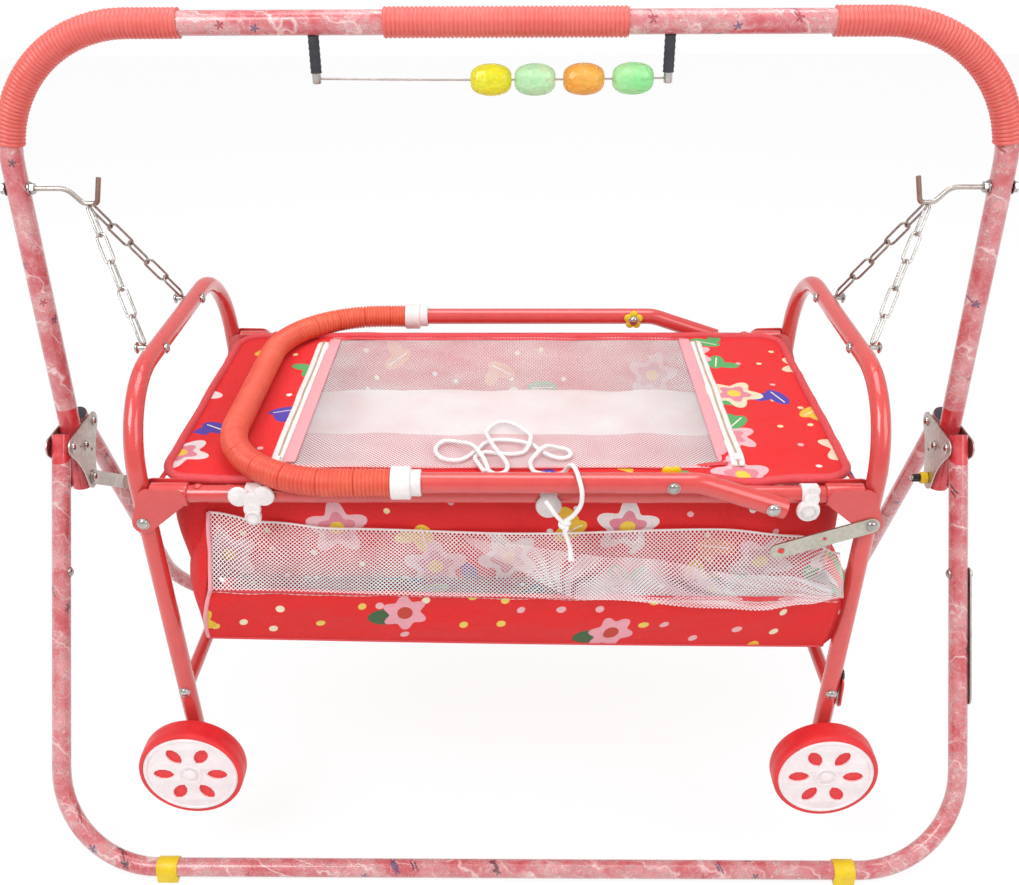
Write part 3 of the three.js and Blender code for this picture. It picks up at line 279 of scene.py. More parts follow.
def cloth_print(g, given):
    place = given["Place"]
    way, own, kept = spot(g, place, size=0.032, keep=0.3, seed=3.1)
    dot = g.pick(own[0], (0, "f6e8b0"), (0.45, "f0b8bd"), (0.75, "f4f0ee"))
    colour = g.laid(given["Cloth"], dot, g.below(g.far(way), 0.11), kept)
    way, own, kept = spot(g, place, size=0.075, keep=0.5, seed=7.7)
    tone = g.pick(own[0], (0, "4a3fb0"), (0.3, "4fae62"), (0.55, "f2c53a"), (0.8, "f08a3c"))
    way = g.add("VectorRotate", {"Vector": way, "Angle": g.times(own[1], full_turn)}, rotation_type="Z_AXIS")
    leaf = g.far(g.vector("MULTIPLY", way, (1.0, 1.9, 0)))
    colour = g.laid(colour, tone, g.below(leaf, 0.27), kept)
    second = g.far(g.vector("MULTIPLY", g.vector("ADD", way, (0.1, 0.2, 0)), (1.7, 1.0, 0)))
    colour = g.laid(colour, tone, g.below(second, 0.2), kept)
    vein = g.below(g.math("ABSOLUTE", g.parts(way)[1]), 0.012)
    colour = g.laid(colour, "f7efe2", g.below(leaf, 0.2), vein, kept)
    way, own, kept = spot(g, place, size=0.118, keep=0.72, seed=1.3)
    flower = g.pick(own[0], (0, "f3e6e6"), (0.4, "f3bcc4"), (0.7, "f4e0c0"))
    colour = g.laid(colour, flower, petals(g, way, 5.0, 0.24, 0.06, own[1]), kept)
    colour = g.laid(colour, "e58b9b", petals(g, way, 5.0, 0.15, 0.03, own[1]), kept)
    return {"Color": g.laid(colour, "f5d24a", g.below(g.far(way), 0.07), kept)}


def scuffs(g, given):
    lines = g.noise(g.vector("MULTIPLY", given["Place"], (160.0, 420.0, 60.0)), 1.0, 3)
    return {"Mark": g.ramp(lines, (0.62, 0.0), (0.7, 1.0))}


place_in = {"Place": "Vector"}
height_out = {"Height": "Float"}
grain_group = node_group("fine_grain", place_in | {"Scale": "Float"}, height_out | {"Shade": "Float"}, grain)
weave_inputs = place_in | {"Threads": "Float"}
weave_group = node_group("woven_threads", weave_inputs, height_out | {"Slub": "Float"}, weave)
net_inputs = place_in | {"Pitch": "Float", "Strand": "Float"}
net_group = node_group("diamond_net", net_inputs, height_out | {"Alpha": "Float"}, diamond_net)
print_group = node_group("flower_print", place_in | {"Cloth": "Color"}, {"Color": "Color"}, cloth_print)
scuff_group = node_group("fine_scuffs", place_in, {"Mark": "Float"}, scuffs)


# Materials


def material(name, paint, depth, **uniform):
    """A material from a function that gives sockets for the shader, with its relief as Relief."""
    made = bpy.data.materials.new(name)
    made.use_nodes = True
    g = Graph(made.node_tree)
    shader = made.node_tree.nodes["Principled BSDF"]
    for label, value in uniform.items():
        shader.inputs[label.replace("_", " ")].default_value = value
    drawn = paint(g)
    drawn["Normal"] = g.add("Bump", {"Height": drawn.pop("Relief"), "Distance": depth, "Strength": 1.0})
    for label, socket in drawn.items():
        g.tree.links.new(socket, shader.inputs[label])
    return made


def mottled(name, tones, spread, rough, more_rough, scales, depth, **uniform):
    """Paint or plastic of two near tones, with a coarse grain for the tone and another for the relief."""

    def paint(g):
        place = g.place()
        shade = g.use(grain_group, "Shade", Place=place, Scale=scales[0])
        return {
            "Base Color": g.blend(shade, spread, *tones),
            "Roughness": g.plus(rough, g.times(shade, more_rough)),
            "Relief": g.use(grain_group, "Height", Place=place, Scale=scales[1]),
        }

    return material(name, paint, depth, **uniform)


def moulded(name, code, dark, rough):
    return mottled(name, (code, dark), 0.15, rough, 0.12, (420.0, 420.0), 0.0002)


def painted(name, code, dark):
    coat = {"Coat_Weight": 1.0, "Coat_Roughness": 0.08}
    return mottled(name, (code, dark), 0.12, 0.26, 0.1, (90.0, 220.0), 0.00005, **coat)


def hose_finish(name, code, dark):
    soft = {"Subsurface_Weight": 0.08, "Subsurface_Scale": 0.004, "Coat_Weight": 0.2, "Coat_Roughness": 0.3}
    return mottled(name, (code, dark), 0.14, 0.3, 0.2, (70.0, 600.0), fine_relief, **soft)


def metal(name, code, dark, rough):
    def paint(g):
        place = g.place()
        spangle = g.parts(g.add("TexVoronoi", {"Vector": place, "Scale": 260.0}, "Color"))[0]
        stain = g.use(grain_group, "Shade", Place=place, Scale=130.0)
        share = g.plus(g.times(spangle, 0.35), g.ramp(stain, (0.4, 0.0), (0.68, 0.7)))
        return {
            "Base Color": g.mix(share, code, dark),
            "Roughness": g.plus(rough, g.times(g.use(scuff_group, "Mark", Place=place), 0.15)),
            "Relief": g.use(grain_group, "Height", Place=place, Scale=500.0),
        }

    return material(name, paint, fine_relief, Metallic=1.0)


def wrapped(name, bare_low, bare_high):
    """Clear printed film wound on a pink tube, with bare red paint below bare_low and above bare_high, and
    painted highlight in near white along its wound edges and creases.
    """

    def paint(g):
        place = g.place()
        x, y, z = g.parts(place)
        along = g.plus(x, z)
        across = g.minus(x, z)
        stretched = g.joined(along, g.times(y, 1.5), across)
        soft = g.noise(stretched, 22.0, 3, 0.4)
        base = g.blend(soft, 0.14, "c85a61", "de9799")
        drift = g.times(g.noise(stretched, 30.0, 2), 1.3)
        wound = g.plus(g.plus(g.times(along, 17.0), g.times(y, 34.0)), drift)
        edge = g.ramp(g.off_middle(g.math("FRACT", wound)), (0.0, 1.0), (0.035, 0.5), (0.09, 0.0))
        edge = g.times(edge, g.ramp(g.noise(stretched, 16.0, 1), (0.4, 0.15), (0.55, 1.0)))
        crease = g.off_middle(g.noise(stretched, 46.0, 5, 1.8))
        crease = g.ramp(crease, (0.0, 1.0), (0.02, 0.35), (0.05, 0.0))
        creases_and_painted_highlight = g.math("MAXIMUM", edge, g.times(crease, g.ramp(soft, (0.42, 0.3), (0.56, 1.0))))
        # Near white laid along the film's wound edges and creases: painted highlight
        tone = g.mix(g.times(creases_and_painted_highlight, 0.7), base, "f9e6e4")
        spread = g.joined(along, g.plus(y, across))
        way, own, kept = spot(g, spread, size=0.05, keep=0.45, seed=4.4)
        ink = g.pick(own[0], (0, "2f4373"), (0.4, "a32434"), (0.7, "2b2f3c"))
        mark = g.times(petals(g, way, 5.0, 0.1, 0.05, own[1]), kept)
        tone = g.mix(g.times(mark, 0.75), tone, ink)
        bare = g.math("MAXIMUM", g.below(z, bare_low), g.math("GREATER_THAN", z, bare_high))
        red = g.blend(g.noise(place, 60.0), 0.1, "cb3239", "d94f55")
        return {
            "Base Color": g.mix(bare, tone, red),
            "Roughness": g.plus(0.22, g.times(creases_and_painted_highlight, 0.2)),
            "Relief": g.times(creases_and_painted_highlight, g.minus(1.0, bare)),
        }

    return material(name, paint, 0.0006, Coat_Weight=0.7, Coat_Roughness=0.1)


def cloth_place(g, upright):
    """The cloth's own plane: X and Y on top pieces, X or Y and Z on upright ones."""
    x, y, z = g.parts(g.place())
    if upright:
        return g.joined(g.plus(x, g.times(y, 0.8)), g.plus(z, g.times(y, 0.3)))
    return g.joined(x, y)


def threaded(g, place, threads, tone, dark, dim, crumple):
    """The threads of a cloth over its tone: darker slubs, and the relief of threads and crumples."""
    slub = g.use(weave_group, "Slub", Place=place, Threads=threads)
    height = g.use(weave_group, "Height", Place=place, Threads=threads)
    shade = g.ramp(slub, (0.35, dim), (0.65, 0.0))
    return {"Base Color": g.mix(shade, tone, dark), "Relief": g.plus(height, crumple)}


cloth_look = {"Roughness": 0.7, "Sheen_Weight": 0.05, "Sheen_Roughness": 0.4}


def woven(name, code, upright=False, printed=True, depth=cloth_relief, threads=700.0):
    def paint(g):
        place = cloth_place(g, upright)
        crumple = g.times(g.noise(g.place(), 26.0, 3, 0.6), 9.0)
        if printed:
            tone = g.use(print_group, "Color", Place=place, Cloth=code)
            return threaded(g, place, threads, tone, "8e0d12", 0.1, crumple)
        return threaded(g, place, threads, code, "a09794", 0.1, crumple)

    return material(name, paint, depth, **cloth_look)


def dotted(name):
    """The pocket's red band, with plain round dots in three pale colours."""

    def paint(g):
        place = cloth_place(g, True)
        way, own, kept = spot(g, place, size=0.04, keep=0.78, seed=2.2)
        tone = g.pick(own[0], (0, "f2b9bd"), (0.4, "f6ecc8"), (0.7, "f3d35e"))
        colour = g.laid("e8191b", tone, g.below(g.far(way), 0.12), kept)
        way, own, kept = spot(g, place, size=0.11, keep=0.6, seed=9.2)
        leaf = g.far(g.vector("MULTIPLY", g.vector("ADD", way, (0.2, 0.06, 0)), (1.0, 1.6, 0)))
        colour = g.laid(colour, "35643c", g.below(leaf, 0.17), kept)
        bloom = g.pick(own[0], (0, "f3c72f"), (0.6, "f2a8b4"))
        colour = g.laid(colour, bloom, petals(g, way, 6.0, 0.2, 0.035, own[1]), kept)
        colour = g.laid(colour, "c8402f", g.below(g.far(way), 0.08), kept)
        crumple = g.times(g.noise(g.place(), 30.0, 3, 0.6), 8.0)
        return threaded(g, place, 700.0, colour, "8e0d12", 0.1, crumple)

    return material(name, paint, cloth_relief, **cloth_look)


def bedding(name):
    """The bed's cloth: white over its middle and back, and a darker dusty pink in front of a wavy edge, which
    is painted shade.
    """

    def paint(g):
        place = g.place()
        wave = g.times(g.minus(g.noise(place, 5.0, 1), 0.5), 0.03)
        # Darker pink over the front of the bed: painted shade
        front = g.below(g.plus(g.parts(place)[1], wave), 0.018)
        tone = g.mix(front, "f0ebea", "d58188")
        return threaded(g, cloth_place(g, False), 600.0, tone, "a09794", 0.08, g.noise(place, 30.0))

    return material(name, paint, cloth_relief, Roughness=0.75, Sheen_Weight=0.05)


def netting(name, code, pitch, strand, upright):
    def paint(g):
        place = g.add("UVMap") if upright else cloth_place(g, False)
        net = {"Place": place, "Pitch": pitch, "Strand": strand}
        shade = g.ramp(g.noise(g.place(), 18.0), (0.3, code), (0.7, "ffffff"))
        return {
            "Base Color": shade,
            "Alpha": g.use(net_group, "Alpha", **net),
            "Relief": g.use(net_group, "Height", **net),
        }

    return material(name, paint, cloth_relief, Roughness=0.6)


def clear_bead(name, code, dark):
    def paint(g):
        place = g.place()
        cells = g.add("TexVoronoi", {"Vector": place, "Scale": 190.0}, "Distance")
        return {"Base Color": g.blend(g.noise(place, 45.0), 0.15, code, dark), "Relief": cells}

    glow = {"Transmission_Weight": 0.35, "Subsurface_Weight": 0.3, "Subsurface_Scale": 0.01, "IOR": 1.45}
    return material(name, paint, 0.0012, Roughness=0.22, **glow)


finishes = {
    "arch_film": wrapped("arch_film", 0.5025, 2.0),
    "leg_film": wrapped("leg_film", -1.0, 0.452),
    "rear_film": wrapped("rear_film", -1.0, 2.0),
    "paint": painted("salmon_red_paint", "d94541", "cf3d3c"),
    "sleeve": hose_finish("coral_sleeve", "de5b53", "e67168"),
    "grip": hose_finish("orange_grip", "da4a35", "e36244"),
    "zinc": metal("zinc_plate", "d3cbc4", "ada39d", 0.4),
    "strap": metal("strap_zinc", "d9d5c8", "b8b3a5", 0.42),
    # A darker copy of the chain metal, used for the rear chains: painted shade
    "shaded_chain_zinc": metal("shaded_chain_zinc", "b7aaa3", "8a7b74", 0.38),
    "bright": metal("bright_bolt", "cfcbc8", "a19a96", 0.2),
    "brown": metal("brown_steel", "b3988a", "8a6f62", 0.42),
    "link": metal("chain_zinc", "d6d3ce", "a8a29c", 0.3),
    "black": moulded("black_rubber", "2a2b30", "3b3d44", 0.5),
    "yellow": moulded("yellow_moulding", "efd21f", "e3bd12", 0.3),
    "white": moulded("white_moulding", "f1eceb", "dfd6d5", 0.3),
    "grey_white": moulded("grey_white_moulding", "dcd6d4", "c4bdbb", 0.35),
    "tread": moulded("red_tread", "ec3437", "dc262d", 0.35),
    "wheel_disc": moulded("pale_disc", "f7eeef", "efe0e2", 0.3),
    "bead_yellow": clear_bead("yellow_bead", "faf63c", "f2ec24"),
    "bead_mint": clear_bead("mint_bead", "dcfccb", "c2f7c4"),
    "bead_orange": clear_bead("orange_bead", "ffc65c", "ffb545"),
    "bead_green": clear_bead("green_bead", "c3fcb8", "9ef7a8"),
    "cover": woven("cover_print", "ea1a1e"),
    "side_cloth": woven("side_print", "e61a1e", upright=True),
    "band": dotted("dotted_band"),
    "piping": woven("piping_cloth", "dc4048", printed=False, depth=0.0002),
    "pink_edge": woven("pink_mesh_border", "eda3aa", printed=False, depth=0.0002),
    "sheet": bedding("pale_sheet"),
    "tape": woven("zip_tape", "f2ecea", printed=False, depth=0.0002),
    "teeth": moulded("zip_teeth", "cbb79b", "b39d80", 0.4),
    "cord": woven("braided_cord", "f6f4f4", printed=False, threads=420.0),
    "cover_net": netting("cover_netting", "f6dfe2", 0.0046, 0.125, False),
    "pocket_net": netting("pocket_netting", "f0d2d6", 0.0047, 0.128, True),
}


# Making pieces


def show(name, data, finish, body="cradle", stands_for=()):
    made = bpy.data.objects.new(name, data)
    scene.collection.objects.link(made)
    data.materials.append(finishes[finish])
    if stands_for:
        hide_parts(*stands_for)
    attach(made, body)
    return made


def piece(name, bm, finish, body="cradle", stands_for=(), sharp=35):
    bmesh.ops.recalc_face_normals(bm, faces=bm.faces)
    mesh = bpy.data.meshes.new(name)
    bm.to_mesh(mesh)
    bm.free()
    mesh.shade_smooth()
    mesh.set_sharp_from_angle(angle=math.radians(sharp))
    return show(name, mesh, finish, body, stands_for)


def bent(corners, radii, steps=12):
    """A tube's middle line through corner points, each rounded to its radius."""
    corners = [Vector(c) for c in corners]
    if not isinstance(radii, (list, tuple)):
        radii = [radii] * (len(corners) - 2)
    line = [corners[0]]
    for before, at, after, radius in zip(corners, corners[1:], corners[2:], radii):
        back, on = (before - at).normalized(), (after - at).normalized()
        half = back.angle(on) / 2
        centre = at + (back + on).normalized() * radius / math.sin(half)
        start = at + back * radius / math.tan(half) - centre
        end = at + on * radius / math.tan(half) - centre
        axis, turn = start.cross(end), start.angle(end)
        line += [centre + Matrix.Rotation(turn * k / steps, 3, axis) @ start for k in range(steps + 1)]
    return line + [corners[-1]]


def length_of(line):
    return sum((b - a).length for a, b in zip(line, line[1:]))


def spaced(line, step):
    """Points spaced evenly along a line."""
    total = length_of(line)
    count = max(2, round(total / step))
    out, run, i = [], 0.0, 0
    for k in range(count + 1):
        want = min(total * k / count, total * 0.999999)
        while i < len(line) - 2 and run + (line[i + 1] - line[i]).length < want:
            run += (line[i + 1] - line[i]).length
            i += 1
        stretch = (line[i + 1] - line[i]).length
        out.append(line[i].lerp(line[i + 1], (want - run) / stretch))
    return out


def smooth_line(points, steps=8):
    """A smooth line through points."""
    points = [Vector(p) for p in points]
    held = [2 * points[0] - points[1], *points, 2 * points[-1] - points[-2]]
    line = []
    for a, b, c, d in zip(held, held[1:], held[2:], held[3:]):
        for t in (k / steps for k in range(steps)):
            curved = (2 * a - 5 * b + 4 * c - d) * t**2 + (3 * b - a - 3 * c + d) * t**3
            line.append(0.5 * (2 * b + (c - a) * t + curved))
    return line + [points[-1]]


def between(start, stop, count):
    """Numbers from start to stop in equal steps."""
    return [start + (stop - start) * k / count for k in range(count + 1)]


def arc(centre, radius, angles):
    return [(centre[0] + radius * math.cos(a), centre[1] + radius * math.sin(a)) for a in angles]


def lines_curve(name, lines, closed, dimensions, shares=None):
    """A curve of straight stretches; shares change its thickness from point to point."""
    curve = bpy.data.curves.new(name, "CURVE")
    curve.dimensions = dimensions
    for line in lines:
        spline = curve.splines.new("POLY")
        spline.points.add(len(line) - 1)
        for point, at, share in zip(spline.points, line, shares or [1] * len(line)):
            point.co = (*at, 1)
            point.radius = share
        spline.use_cyclic_u = closed
        spline.use_smooth = True
    return curve


def wires(name, lines, radius, finish, body="cradle", stands_for=(), closed=False, shares=None, rounds=4):
    """Round bars along lines, as one piece."""
    curve = lines_curve(name, lines, closed, "3D", shares)
    curve.bevel_depth = radius
    curve.bevel_resolution = rounds
    curve.use_fill_caps = True
    return show(name, curve, finish, body, stands_for)


def tube(name, line, *rest, **more):
    return wires(name, [line], *rest, **more)


def hose(name, line, crest, valley, pitch, finish, body, stands_for, rings=None):
    """A corrugated hose; rings gives every how many ribs a deeper groove comes."""
    steps = 6
    points = spaced(line, pitch / steps)
    shares = []
    for i in range(len(points)):
        rib = abs(math.sin(math.pi * i / steps)) ** 0.6
        deeper = rings and (i // steps) % rings == 0
        low = valley - (crest - valley) if deeper else valley
        shares.append((low + (crest - low) * rib) / crest)
    return tube(name, points, crest, finish, body, stands_for, shares=shares, rounds=6)


def pressed(loops, half, soft, rounds, turn):
    """A plate from flat closed loops, of which the inner ones are holes, with soft edges."""
    curve = lines_curve("outline", [[(u, v, 0) for u, v in loop] for loop in loops], True, "2D")
    curve.fill_mode = "BOTH"
    curve.extrude = half - soft
    curve.bevel_depth = soft
    curve.bevel_resolution = rounds
    curve.offset = -soft
    holder = bpy.data.objects.new("outline", curve)
    mesh = bpy.data.meshes.new_from_object(holder)
    bm = bmesh.new()
    bm.from_mesh(mesh)
    bpy.data.objects.remove(holder)
    bpy.data.curves.remove(curve)
    bpy.data.meshes.remove(mesh)
    bmesh.ops.transform(bm, matrix=turn, verts=bm.verts)
    bmesh.ops.remove_doubles(bm, verts=bm.verts, dist=0.000002)
    return bm


def lathe(profile, steps=32):
    """A body turned about Z from its outline of radius and height."""
    bm = bmesh.new()
    verts = [bm.verts.new((r, 0, h)) for r, h in profile]
    geom = verts + [bm.edges.new(pair) for pair in zip(verts, verts[1:])]
    axis = {"cent": (0, 0, 0), "axis": (0, 0, 1)}
    bmesh.ops.spin(bm, geom=geom, **axis, angle=full_turn, steps=steps, use_merge=True)
    bmesh.ops.remove_doubles(bm, verts=bm.verts, dist=0.000002)
    return bm


def set_at(bm, at, axis):
    turn = Vector((0, 0, 1)).rotation_difference(Vector(axis)).to_matrix().to_4x4()
    bmesh.ops.transform(bm, matrix=Matrix.Translation(at) @ turn, verts=bm.verts)
    return bm


def merged(bodies):
    whole = bmesh.new()
    for bm in bodies:
        mesh = bpy.data.meshes.new("part")
        bm.to_mesh(mesh)
        bm.free()
        whole.from_mesh(mesh)
        bpy.data.meshes.remove(mesh)
    return whole


def dome(radius, height):
    """A bolt's rounded head on a thin washer."""
    washer = height * 0.2
    head = [(radius * math.cos(a), washer + (height - washer) * math.sin(a)) for a in (0, 0.3, 0.6, 0.9, 1.2)]
    return lathe([(0, 0), (radius * 1.18, 0), (radius * 1.18, washer), *head, (0, height)], 20)


def bolts(name, places, radius, height, finish="bright", body="cradle"):
    """Round bolt heads; places are (point, the way that it faces)."""
    return piece(name, merged([set_at(dome(radius, height), at, axis) for at, axis in places]), finish, body)


def barrel(length, radius, edge=0.0006, steps=28):
    low = [(0, 0), (radius - edge, 0), (radius, edge)]
    return lathe([*low, (radius, length - edge), (radius - edge, length), (0, length)], steps)


def lobed(discs, low, high, axis="x"):
    """A flat plate with the outline of a string round discs, between two depths along an axis."""
    bm = bmesh.new()
    for u, v, radius in discs:
        for a, b in arc((u, v), radius, [full_turn * k / 24 for k in range(24)]):
            for depth in (low, high):
                bm.verts.new((depth, a, b) if axis == "x" else (a, depth, b))
    made = bmesh.ops.convex_hull(bm, input=bm.verts)
    bmesh.ops.delete(bm, geom=list(set(made["geom_interior"] + made["geom_unused"])), context="VERTS")
    bmesh.ops.dissolve_limit(bm, angle_limit=0.02, verts=bm.verts, edges=bm.edges)
    return bm


def hoop_x(z):
    """How far out the leaning hoops are at a height."""
    return 0.387 + (z - rail_z) * math.tan(math.radians(2.3))


def on_leg(x, below, end=-1):
    """A point of a leg frame, below its pivot along the leg."""
    y = leg_pivot[0] + below * math.sin(leg_lean)
    return Vector((x, end * y, leg_pivot[1] - below * math.cos(leg_lean)))


# Drawstring: the same points as in the solids

cord_points = [
    (-0.023, -0.186, 0.5172), (-0.031, -0.169, 0.5186), (-0.034, -0.155, 0.5186), (-0.024, -0.145, 0.5186),
    (-0.008, -0.148, 0.5186), (0.007, -0.149, 0.5186), (0.02, -0.143, 0.519), (0.027, -0.123, 0.525),
    (0.022, -0.097, 0.519), (0.004, -0.074, 0.5186), (-0.012, -0.074, 0.5186), (-0.023, -0.097, 0.52),
    (-0.021, -0.121, 0.525), (-0.011, -0.151, 0.525), (-0.001, -0.168, 0.521), (0.0015, -0.179, 0.5186),
    (-0.0025, -0.188, 0.5175), (-0.011, -0.1905, 0.5172), (-0.0185, -0.1845, 0.518), (-0.0215, -0.1745, 0.52),
    (-0.027, -0.16, 0.5235), (-0.038, -0.14, 0.525), (-0.056, -0.121, 0.519), (-0.071, -0.119, 0.5186),
    (-0.079, -0.137, 0.5186), (-0.071, -0.158, 0.5186), (-0.052, -0.163, 0.5186), (-0.037, -0.147, 0.5186),
    (-0.021, -0.12, 0.5186), (0.001, -0.116, 0.5186), (0.026, -0.125, 0.5186), (0.036, -0.138, 0.5186),
    (0.046, -0.152, 0.519), (0.059, -0.1585, 0.5186), (0.068, -0.155, 0.5186), (0.0705, -0.147, 0.5186),
    (0.0665, -0.139, 0.519), (0.0575, -0.137, 0.52), (0.043, -0.143, 0.525), (0.031, -0.155, 0.52),
    (0.026, -0.17, 0.5186), (0.031, -0.186, 0.5172), (0.048, -0.192, 0.5175), (0.06, -0.2, 0.524),
    (0.066, -0.213, 0.54), (0.071, -0.229, 0.5465), (0.075, -0.243, 0.541), (0.078, -0.248, 0.528),
    (0.077, -0.246, 0.512), (0.07, -0.243, 0.498), (0.061, -0.241, 0.488), (0.062, -0.241, 0.476),
    (0.067, -0.24, 0.459), (0.069, -0.24, 0.441),
]  # fmt: skip
spare_points = [(0.0615, -0.241, 0.485), (0.056, -0.244, 0.494), (0.05, -0.246, 0.503)]
spare_points += [(0.045, -0.245, 0.511), (0.041, -0.244, 0.516)]


def knot_line():
    size = 0.0046
    loop = []
    for a in between(0, full_turn, 24):
        x, z = math.sin(a) + 2 * math.sin(2 * a), math.cos(a) - 2 * math.cos(2 * a)
        loop.append(Vector(spare_points[0]) + Vector((x, 1.4 * math.sin(3 * a), z)) * size / 2.6)
    return loop


def make_cord():
    line = smooth_line(cord_points)
    flared = 9
    plain = len(line) - flared
    flare = [1] * plain + [1 + 0.06 * k for k in range(flared)]
    cord = tube("drawstring_cord", line, cord_radius, "cord", stands_for=["drawstring"], shares=flare)
    knot = tube("cord_knot", knot_line(), cord_radius * 0.95, "cord")
    end = tube("cord_spare_end", smooth_line(spare_points), cord_radius * 0.95, "cord")
    length_of(line)


make_cord()


# Stand


def make_arch():
    corners = [(-arch_half, 0, arch_foot), (-arch_half, 0, arch_top)]
    corners += [(arch_half, 0, arch_top), (arch_half, 0, arch_foot)]
    tube("arch_bar", bent(corners, arch_bend, 20), arch_radius, "arch_film", "stand", ["arch_tube"], rounds=6)
    sleeve_foot, sleeve_end, centre_half = 0.817, 0.34, 0.127
    bend_line = [p for p in bent(corners[:3], arch_bend, 36)[1:-1] if p.z > sleeve_foot]
    routes = {"centre": [Vector((x, 0, arch_top)) for x in (-centre_half, centre_half)]}
    for side, name in side_names.items():
        routes[name] = [Vector((-side * p.x, p.y, p.z)) for p in bend_line]
        routes[name].append(Vector((side * sleeve_end, 0, arch_top)))
    for name in ("left", "right", "centre"):
        crest, valley, pitch = 0.0158, 0.0141, 0.0046
        hose(f"arch_sleeve_{name}", routes[name], crest, valley, pitch, "sleeve", "stand", [f"sleeve_{name}"])


def make_legs():
    leg_length = (leg_pivot[1] - floor_bar_z) / math.cos(leg_lean)
    over, cap_over = -0.016, -0.014
    route = [(-arch_half, over), (-arch_half, leg_length), (arch_half, leg_length), (arch_half, over)]
    cap = [(0, 0), (0.0106, 0), (0.0108, 0.0014), (0.0102, 0.0026), (0, 0.003)]
    for end, body, finish in ((-1, "front_leg", "leg_film"), (1, "rear_leg", "rear_film")):
        line = bent([on_leg(x, run, end) for x, run in route], leg_bend, 16)
        tube(f"{body}_bar", line, leg_radius, finish, body, [f"{body}_frame"], rounds=6)
        way = on_leg(0, -1, end) - on_leg(0, 0, end)
        plugs = [set_at(lathe(cap, 24), on_leg(side * arch_half, cap_over, end), way) for side in signs]
        piece(f"{body}_plugs", merged(plugs), "black", body)
        for side in signs:
            foot_band(side, end, body, leg_length)


def foot_band(side, end, body, leg_length):
    """A yellow moulding round the floor bar with a flat sole."""
    width, soft = 0.025, 0.0005
    shift = 0.012 if side < 0 else -0.019
    x = side * (arch_half - leg_bend) + shift
    y = on_leg(0, leg_length, end).y
    outer = leg_radius + 0.0019
    ring = arc((y, floor_bar_z), outer, between(0, math.pi, 16))
    ring += [(y - outer, soft), (y - outer + soft, 0), (y + outer - soft, 0), (y + outer, soft)]
    bm = bmesh.new()
    face = bm.faces.new([bm.verts.new((x - width / 2, *at)) for at in ring])
    made = bmesh.ops.extrude_face_region(bm, geom=[face])
    moved = [v for v in made["geom"] if isinstance(v, bmesh.types.BMVert)]
    bmesh.ops.translate(bm, vec=(width, 0, 0), verts=moved)
    rims = [e for e in bm.edges if abs(e.verts[0].co.x - e.verts[1].co.x) < 0.001]
    bevel(bm, rims, 0.0008)
    name = f"foot_band_{corner_names[side, end]}"
    piece(name + "_moulding", bm, "yellow", body, [name])


def bevel(bm, edges, offset):
    kind = {"offset_type": "OFFSET", "affect": "EDGES", "material": -1}
    bmesh.ops.bevel(bm, geom=edges, offset=offset, segments=2, profile=0.5, **kind)


def shield():
    """One hinge plate's outline in Y and Z: two round shoulders, hollow sides and a round tip."""
    shoulder, tip = 0.012, 0.014
    points = arc(leg_pivot, shoulder, [math.pi / 2 - k * 0.28 for k in range(9)])
    start, hold, end = Vector(points[-1]), Vector((0.0225, 0.437)), Vector((0.0138, 0.406))
    for t in (0.2, 0.4, 0.6, 0.8):
        points.append(tuple((1 - t) ** 2 * start + 2 * t * (1 - t) * hold + t * t * end))
    points += arc((0, pin_z), tip, [-k * math.pi / 12 for k in range(7)])
    return points + [(-y, z) for y, z in reversed(points[:-1])]


def make_plates():
    pivot_y, pivot_z = leg_pivot
    thick, soft, gap, sunk = 0.002, 0.0004, 0.015, 0.0175
    round_hole = [a / 3 for a in range(19)]
    holes = [arc((0.013, 0.4365), 0.0022, round_hole), arc((-0.016, 0.4555), 0.0018, round_hole)]
    for side, name in side_names.items():
        for label, low in (("inner", arch_half - gap), ("outer", arch_half + gap - thick)):
            turn = Matrix(((0, 0, 1, side * (low + thick / 2)), (1, 0, 0, 0), (0, 1, 0, 0), (0, 0, 0, 1)))
            bm = pressed([shield(), *holes], thick / 2, soft, 4, turn)
            piece(f"{label}_plate_{name}", bm, "zinc", "stand", [f"hinge_plate_{label}_{name}"])
        heads = []
        for y, z in ((-pivot_y, pivot_z), (pivot_y, pivot_z), (0, 0.449), (0, pin_z)):
            heads.append(((side * (arch_half + gap), y, z), (side, 0, 0)))
            if z != pin_z:
                heads.append(((side * (arch_half - gap), y, z), (-side, 0, 0)))
            elif side < 0:
                heads.append(((side * (arch_half - sunk), y, z), (-side, 0, 0)))
        bolts(f"plate_bolts_{name}", heads, *plate_bolt, body="stand")


def helix(at, radius, length, turns):
    """A spring's wire that runs from a point against X."""
    step, count = 0.4488, turns * 14
    ring = arc((at[1], at[2]), radius, [k * step for k in range(count + 1)])
    return [Vector((x, y, z)) for x, (y, z) in zip(between(at[0], at[0] - length, count), ring)]


def make_lock():
    inward, flutes, flute_share = (-1, 0, 0), 10, 0.05
    knob_x, stem_x, spring_x = 0.5297, 0.5347, 0.5205
    fluted = barrel(0.009, 0.0075, 0.001, 20)
    for vert in fluted.verts:
        flat_way = Vector((vert.co.x, vert.co.y))
        if flat_way.length > 0.0072:
            angle = math.atan2(vert.co.y, vert.co.x)
            vert.co.xy = flat_way * (1 - flute_share * (math.cos(flutes * angle) < 0))
    piece("lock_knob", set_at(fluted, (knob_x, 0, pin_z), inward), "yellow", "lock", ["lock_pin"])
    piece("lock_stem", set_at(barrel(0.026, 0.003), (stem_x, 0, pin_z), inward), "bright", "lock")
    tube("lock_spring", helix((spring_x, 0, pin_z), 0.0046, 0.009, 5), 0.0007, "black", "lock", rounds=2)


def strap_plate(name, start, stop, radius, low, high, finish, body, stands_for=()):
    """A flat strap across X with round ends."""
    bm = lobed([(start.y, start.z, radius), (stop.y, stop.z, radius)], low, high)
    piece(name, bm, finish, body, stands_for)


